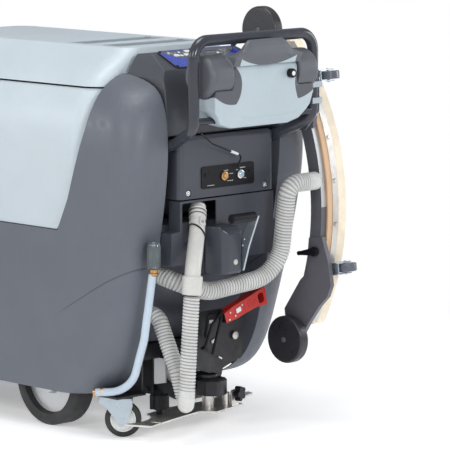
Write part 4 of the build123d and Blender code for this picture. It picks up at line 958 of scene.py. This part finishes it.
def vacuum_radius(s, angle, total):
    """A long plain cuff with a tapered edge, ribs, then a short plain cuff."""
    cuff, cuff_edge, end_cuff = 34, 38, 8
    full = VACUUM["hose_radius"]
    if s < cuff:
        return full if s > 2 else 24.4
    if s < cuff_edge:
        return full - 1.2 * (s - cuff) / 4
    if s > total - end_cuff:
        return 22.8
    ramp = min(1.0, (s - cuff_edge) / 5.0, (total - end_cuff - s) / 5.0)
    sag = 0.15 * math.sin(s * 0.05 + math.sin(angle))
    groove = VACUUM["depth"] * valley(s, angle, VACUUM["pitch"])
    return full - groove * ramp + sag - CREST_TRIM


corrugated("drain_hose_corrugated", route(DRAIN_POINTS, [26, 26, 40, 40]), "drain_hose",
           drain_radius, **DRAIN)
corrugated("vacuum_hose_corrugated", route(VACUUM_POINTS, [38, 100, 120, 60, 60]),
           "vacuum_hose", vacuum_radius, bore=19.3, **VACUUM)

# ---------------------------------------------------------------- drain tube
spout_path = route(((-398, 90, 626), (-440, 135, 560), (-474, 184, 470), (-476, 190, 406)),
                   [60, 60], 1.5)
# raised rings on the spout: (distance along it, half width, height)
SPOUT_RINGS = ((14, 3.2, 2.6), (26, 3.2, 2.6), (38, 3.0, 2.0))


def spout_radius(s, angle, total):
    r = 21.6
    left = total - s
    if left < 50:  # end collar with a fine groove
        r = 27.4 if 1.5 < left < 48 else 26.2
        if 20 < left < 22.5:
            r -= 0.7
    for centre, half_width, height in SPOUT_RINGS:
        away = abs(s - centre)
        if away < half_width:
            r += height * math.cos(away / half_width * math.pi / 2)
    if 52 < s < 62:  # a low swelling under the latch
        r += 1.4 * math.sin((s - 52) / 10 * math.pi)
    return r + 0.12 * math.sin(s * 0.11 + 3 * math.sin(angle))


replace_node(sweep("drain_tube_spout", spout_path, spout_radius, "drain_grey", 44,
                   count=int(distances(spout_path)[-1] / 1.4)), "drain_tube")


def spout_fittings():
    """Slanting strap, two clamp rings, and a latch tab with a smaller plate inside it."""
    point, along = point_at(spout_path, 88)
    tilted = (along + Vector((0.15, 0.75, 0.25))).normalized()
    attach(band("drain_tube_strap", point, tilted, 29.5, 22.6, width=5.0, thick=1.6,
                finish="black_plastic", x_dir=along))
    for i, distance in enumerate((20, 32)):
        point, along = point_at(spout_path, distance)
        attach(band("drain_tube_clamp_%d" % i, point, along, 22.2, 22.2, width=2.2, thick=0.9,
                    finish="black_plastic"))
    point, along = point_at(spout_path, 62)
    out = Vector((-1, 0.35, 0.0))
    out = (out - along * out.dot(along)).normalized()
    attach(prisms("drain_tube_latch", [rounded(0, 0, 24, 17, 3), rounded(2, 0, 12, 9, 2)],
                  axes(point + out * 21.5, out, along), "drain_grey", -2.0, 4.0, bevel=0.8))


spout_fittings()

# ---------------------------------------------------------------- printed control panel
# local x climbs forwards up the slope, local y runs to the left
panel = axes((PANEL_X, 0, PANEL_Z), (-PANEL_SIN, 0, PANEL_COS), (PANEL_COS, 0, PANEL_SIN))


def panel_marks():
    marks = [rounded(33, 40, 13, 22, 3), rounded(14, 77, 9, 13, 4),
             disc(31, 112, 3.6), disc(30, 74, 4.2), disc(-4, 62, 3.0)]
    for y in (118, 104, 92, 60, 26, 8, -66, -82, -96):  # pairs of dashes
        marks += [bar(28 - 5 * k, y, 1.0, 8.0 - 1.5 * k) for k in range(2)]
    marks += [bar(20, -38 + 13 * math.sin(angle), 1.2, 3.6) for angle in (-1.2, -0.5, 0.5, 1.2)]
    for k in range(9):  # ticks on an arc
        angle = math.pi * (0.15 + 0.7 * k / 8) + math.pi / 2
        marks.append(bar(16 + 17 * math.sin(angle) * 0.9, -66 + 20 * math.cos(angle),
                         1.0, 3.0, angle))
    return marks + [rounded(14, -64, 7, 18, 3), rounded(-12, 39, 6, 11, 2.5),
                    rounded(-12, -6, 6, 11, 2.5)]


attach(prisms("panel_white_print", panel_marks(), panel, "print_white", 4.3, 4.55))
attach(prisms("panel_yellow_label", [rounded(37, 12, 9, 21, 1.0)], panel, "print_yellow",
              4.3, 4.6))
PANEL_SCREWS = ((38, 138), (-38, 138), (38, -138), (-38, -138), (40, 22))
attach(prisms("panel_corner_screws", [disc(x, y, 4.2, 16) for x, y in PANEL_SCREWS], panel,
              "black_plastic", 4.4, 6.2, bevel=0.7))


def key_ring():
    """An oval ring of round wire, 20 up the slope and 30 off the panel."""
    count, sides, wire = 40, 10, 1.1
    up_slope, off_panel = 20, 30
    matrix = axes((PANEL_X + PANEL_COS * up_slope - PANEL_SIN * off_panel, -118,
                   PANEL_Z + PANEL_SIN * up_slope + PANEL_COS * off_panel),
                  (0.35, 0.80, 0.48), (PANEL_COS, 0, PANEL_SIN))
    oval = [Vector((11.5 * math.cos(turn(k, count)), 8.5 * math.sin(turn(k, count)), 0))
            for k in range(count)]
    up = Vector((0, 0, 1))
    bm = bmesh.new()
    rings = []
    for i, point in enumerate(oval):
        out = (oval[(i + 1) % count] - oval[i - 1]).normalized().cross(up).normalized()
        rings.append([bm.verts.new(matrix @ (
            (point + out * (wire * math.cos(turn(k, sides)))
             + up * (wire * math.sin(turn(k, sides)))) * MM)) for k in range(sides)])
    for a, b in zip(rings, rings[1:] + rings[:1]):
        bridge(bm, a, b)
    attach(close_mesh("key_ring", bm, "black_plastic", 60.0), "key")


key_ring()

# ---------------------------------------------------------------- breaker plate and cable sleeve
BREAKER_Z = 705
# rows of dashes: (left end y, height above the breakers, dashes, dash width)
PLATE_ROWS = ((15, 14, 4, 3.0), (-46, 17, 5, 3.2), (2, -15, 6, 2.4), (-60, -12, 3, 2.2),
              (78, -22, 8, 2.0), (-30, 12, 3, 2.0), (-6, 4, 4, 2.2))
# local x runs to the left and local y down
dashes = [bar(y - k * (width + 1.4), -height, width, 1.3 + 0.6 * (k % 2))
          for y, height, count, width in PLATE_ROWS for k in range(count)]
attach(prisms("breaker_plate_marks", dashes, axes((-423.0, 0, BREAKER_Z), REARWARD, LEFTWARD),
              "print_white", 0.0, 0.22))
COLLAR = ((7.4, 0), (12.6, 0), (12.8, 1.2), (11.4, 2.6), (9.2, 3.0), (7.4, 2.6))
for side, y, finish in (("left", 15, "brass"), ("right", -46, "chrome")):
    attach(lathe("breaker_collar_" + side, COLLAR, axes((-425.4, y, BREAKER_Z), REARWARD),
                 finish, 32, hex_ripple(0.5, 11, 13)))
attach(lathe("breaker_right_lens", [(0, 1.6), (3.0, 1.3), (5.0, 0.4), (5.4, -0.2)],
             axes((-431.0, -46, BREAKER_Z), REARWARD), "lens_blue", 28), "breaker_b")


def cable_sleeve():
    """A white sleeve round the control cable, from 188 to 222 along it."""
    cable = route(((-497, 176, 838), (-452, 90, 800), (-438, -38, 756), (-429, -28, 724)),
                  [40, 14])
    covered = [point for point, s in zip(cable, distances(cable)) if 188 <= s <= 222]
    attach(sweep("control_cable_sleeve", covered,
                 lambda s, angle, total: 3.7 - (0.5 if s < 0.8 or s > total - 0.8 else 0.0),
                 "print_white", 18))


cable_sleeve()

# ---------------------------------------------------------------- level tube, cap and fittings
level_path = route(((-404, 264, 462), (-374, 268, 280), (-326, 272, 136), (-238, 322, 128)),
                   [200, 85], 3.0)
# profiles: (radius, height along the axis)
TOP_FITTING = ((0, 0), (10.0, 0), (11.8, 1.5), (11.8, 8), (10.4, 9.2), (11.6, 10.4),
               (11.6, 18), (9.0, 19.4), (9.0, 33), (10.2, 34), (9.0, 36), (8.0, 39.4),
               (0, 39.4))
ELBOW = ((0, -2), (11.2, -2), (11.9, 0), (11.9, 6), (9.8, 7), (9.8, 20), (11.2, 21),
         (11.2, 27), (9.6, 28), (0, 28))
LEVEL_CAP = ((16.4, 0), (19.0, 0), (19.0, 3), (17.6, 4.5), (18.2, 30), (18.0, 58),
             (16.6, 66), (12.5, 71.5), (6.5, 73.6), (0, 74))


def cap_flutes(angle, r, z):
    return 0.85 * math.cos(12 * angle) if 4 < z < 70 and r > 10 else 0.0


replace_node(sweep("level_tube_wall", level_path,
                   lambda s, angle, total: 10.9 + 0.15 * math.sin(s * 0.06 + angle),
                   "clear_tube", 28), "level_tube")
attach(sweep("level_tube_bore", level_path, lambda s, angle, total: 7.6, "clear_core", 18))
attach(lathe("level_tube_top_fitting", TOP_FITTING, axes((-406, 262, 456), UPWARD), "brass",
             32))
attach(lathe("level_tube_elbow", ELBOW, axes((-258, 309, 130.5), (77, 50, -10)), "brass", 28))
replace_node(lathe("level_tube_cap_v", LEVEL_CAP, axes((-406, 262, 477), UPWARD), "smoke_cap",
                   72, cap_flutes, smooth_angle=45), "level_tube_cap")

# ---------------------------------------------------------------- small hardware on the back
HOUSING_BOLT = ((0, 3.6), (4.6, 3.6), (5.6, 2.4), (7.6, 2.0), (8.2, 0), (8.2, -0.4))
attach(lathe("lever_housing_bolt", HOUSING_BOLT, axes((-480.6, 30, 478), REARWARD), "steel",
             24, hex_ripple(0.5, 4, 6)))
attach(prisms("bulkhead_orange_mark", [disc(0, 0, 5.0, 14, 3.4)],
              axes((-420.0, -84, 540), REARWARD, LEFTWARD), "orange_mark", -0.1, 0.4))


def connector_face(node):
    """Axes on the rear face of one half of the battery connector."""
    rear = 1000 * (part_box(node)[0].x - SHIFT.x)
    return axes((rear, *CONNECTOR[1:]), REARWARD, CONNECTOR_LINE)


socket_face = connector_face("battery_socket")
SOCKET_SCREWS = ((-10, 10), (-42, -8), (-58, 8), (-66, -9))
attach(prisms("battery_socket_label", [rounded(-26, 2, 18, 13, 1.5)], socket_face,
              "print_white", -0.4, 0.5))
attach(prisms("battery_socket_screws", [disc(x, y, 3.0, 14) for x, y in SOCKET_SCREWS],
              socket_face, "steel", -0.8, 1.2, bevel=0.4))
attach(prisms("battery_plug_ribs", [bar(14 + 9 * k, 0, 1.6, 20) for k in range(4)],
              connector_face("battery_plug"), "red_plastic", -0.8, 1.0, bevel=0.3),
       "plug")

PIVOT_CAP = ((0, 4.4), (3.0, 4.0), (4.0, 2.6), (8.8, 2.4), (10.2, 1.2), (11.2, -0.3))
attach(lathe("pivot_bolt_cap", PIVOT_CAP, axes((-374.2, -78, 252), REARWARD), "steel", 32,
             hex_ripple(0.6, 3, 10)))

# white labels on the battery leads: (y, z, tilt in radians, length, width)
LEAD_LABELS = ((12, 300, 0.1, 26, 9), (0, 246, -0.35, 20, 9), (-24, 196, 0.5, 14, 4))
for i, (y, z, tilt, length, width) in enumerate(LEAD_LABELS):
    matrix = axes((-367.6, y, z), REARWARD, (0, math.cos(tilt), math.sin(tilt)))
    attach(prisms("lead_label_%d" % i, [rounded(0, 0, length, width, 1.0)], matrix,
                  "print_white", 0.0, 2.4, bevel=0.6))

# speed knob: white centre, and two index dots on the pod beside it
attach(lathe("speed_knob_centre", [(0, 1.2), (5.0, 1.0), (6.2, 0.2), (6.6, -0.6)],
             axes((-581.2, -90, 985), REARWARD), "button_white", 28), "dial")
attach(prisms("speed_knob_dots", [disc(x, 13, 1.8, 12) for x in (-15, 15)],
              axes((-566.4, -90, 985), REARWARD, LEFTWARD), "print_white", -0.3, 0.7))

# ---------------------------------------------------------------- brushes
# section of the backing disc: (radius, height)
BRUSH_BACK = ((10.3, 73), (172, 73), (174, 74.5), (174, 83), (172.5, 85), (10.3, 85))
TUFT_ROWS = (106, 118, 130, 142, 154, 166)
TUFT_PITCH = 12.5


def add_tuft(bm, matrix, row_radius, angle, lean):
    """A six-sided tuft, wider and further out at its foot."""
    foot_radius = row_radius + 3 + 30 * lean
    foot_angle = angle + lean * 0.2
    low, top = [], []
    for j in range(6):
        c, s = math.cos(turn(j, 6)), math.sin(turn(j, 6))
        top.append(bm.verts.new(matrix @ spot(row_radius * math.cos(angle) + 2.6 * c,
                                              row_radius * math.sin(angle) + 2.6 * s, 74)))
        low.append(bm.verts.new(matrix @ spot(foot_radius * math.cos(foot_angle) + 4.3 * c,
                                              foot_radius * math.sin(foot_angle) + 4.3 * s,
                                              30.5 + 1.2 * abs(lean) * 20 * (j % 2))))
    bridge(bm, top, low)
    bm.faces.new(low)
    bm.faces.new(top)


def brush(node, centre_y, start_angle):
    matrix = axes((636, centre_y, 0), UPWARD)
    bm = bmesh.new()
    rings = [[bm.verts.new(matrix @ spot(r * math.cos(turn(k, 72)),
                                         r * math.sin(turn(k, 72)), z)) for k in range(72)]
             for r, z in BRUSH_BACK]
    for a, b in zip(rings, rings[1:] + rings[:1]):
        for face in bridge(bm, a, b):
            face.material_index = 1
    for row, row_radius in enumerate(TUFT_ROWS):
        count = int(2 * math.pi * row_radius / TUFT_PITCH)
        for k in range(count):
            angle = turn(k + 0.5 * (row % 2), count) + start_angle
            lean = 0.02 + 0.05 * math.sin(37.0 * k + 11.0 * row)
            add_tuft(bm, matrix, row_radius, angle, lean)
    replace_node(close_mesh(node + "_v", bm, ["bristle", "bristle_back"], 40.0), node)


brush("brush_left", 176, 0.0)
brush("brush_right", -176, 0.21)


# ---------------------------------------------------------------- stage
def floor_material():
    """A pale floor that brightens to plain white away from the machine."""
    material = shade("studio_floor", colour=(0.93, 0.93, 0.935), rough=0.65, grain=60,
                     grain_bump=0.0, mottle=0.01, spec=0.2)
    tree = material.node_tree
    found = {node.type: node for node in tree.nodes}
    surface = found["BSDF_PRINCIPLED"]
    connect(surface, {"Emission Color": (1, 1, 1, 1), "Emission Strength": 0.35})
    distance = add_node(tree, "VectorMath", {0: found["TEX_COORD"].outputs["Object"]},
                        operation="LENGTH")
    far = Field(distance.outputs["Value"]).step(0.9, 2.1)
    glow = add_node(tree, "Emission", {0: (1, 1, 1, 1), 1: 1.0})
    mix = add_node(tree, "MixShader", {0: far, 1: surface.outputs[0], 2: glow.outputs[0]})
    connect(found["OUTPUT_MATERIAL"], {0: mix.outputs[0]})
    return material


def studio_floor():
    half = 40
    mesh = bpy.data.meshes.new("studio_floor")
    mesh.from_pydata([(-half, -half, 0), (half, -half, 0), (half, half, 0), (-half, half, 0)],
                     [], [(0, 1, 2, 3)])
    mesh.materials.append(floor_material())
    floor = bpy.data.objects.new("studio_floor", mesh)
    scene.collection.objects.link(floor)


def studio_world():
    """White to the camera, a dimmer cool fill to everything else."""
    world = bpy.data.worlds.new("studio")
    scene.world = world
    world.use_nodes = True
    tree = world.node_tree
    tree.nodes.clear()
    output = add_node(tree, "OutputWorld")
    backdrop = add_node(tree, "Background", {0: (1, 1, 1, 1), 1: 1.0})
    fill = add_node(tree, "Background", {0: (0.93, 0.96, 1.0, 1), 1: 0.36})
    seen = add_node(tree, "LightPath").outputs["Is Camera Ray"]
    mix = add_node(tree, "MixShader", {0: seen, 1: fill.outputs[0], 2: backdrop.outputs[0]})
    connect(output, {0: mix.outputs[0]})


def aim(ob, target):
    ob.rotation_euler = (target - ob.location).to_track_quat("-Z", "Y").to_euler()


def area(name, location, target, size, energy, colour=(1, 1, 1)):
    light = bpy.data.lights.new(name, "AREA")
    light.shape = "RECTANGLE"
    light.size = size
    light.size_y = size
    light.energy = energy
    light.color = colour
    ob = bpy.data.objects.new(name, light)
    ob.location = location
    aim(ob, Vector(target))
    scene.collection.objects.link(ob)


def studio_camera():
    lens = bpy.data.cameras.new("camera")
    lens.sensor_width = 36.0
    lens.lens = 258.2
    lens.clip_end = 60.0
    camera = bpy.data.objects.new("camera", lens)
    camera.location = Vector((-6.526, 6.115, 1.753)) + SHIFT
    aim(camera, Vector((-0.420, 0.009, 0.570)) + SHIFT)
    scene.collection.objects.link(camera)
    scene.camera = camera


studio_floor()
studio_world()
area("key", location=(-1.9, 3.9, 2.6), target=(-0.2, 0.1, 0.6), size=1.3, energy=46,
     colour=(1.0, 0.99, 0.97))
area("back_wash", location=(-5.2, 1.4, 2.4), target=(-0.4, 0, 0.6), size=1.2, energy=88,
     colour=(0.98, 0.99, 1.0))
area("rim_left", location=(2.4, 3.4, 2.0), target=(0.0, 0.3, 0.6), size=1.2, energy=34)
area("fill_right", location=(-2.2, -3.8, 1.6), target=(-0.3, 0, 0.6), size=1.8, energy=46,
     colour=(0.95, 0.97, 1.0))
area("top", location=(-0.5, 0.4, 4.2), target=(-0.2, 0, 0), size=1.8, energy=62)
studio_camera()
scene.view_settings.view_transform = "Standard"
scene.view_settings.look = "None"
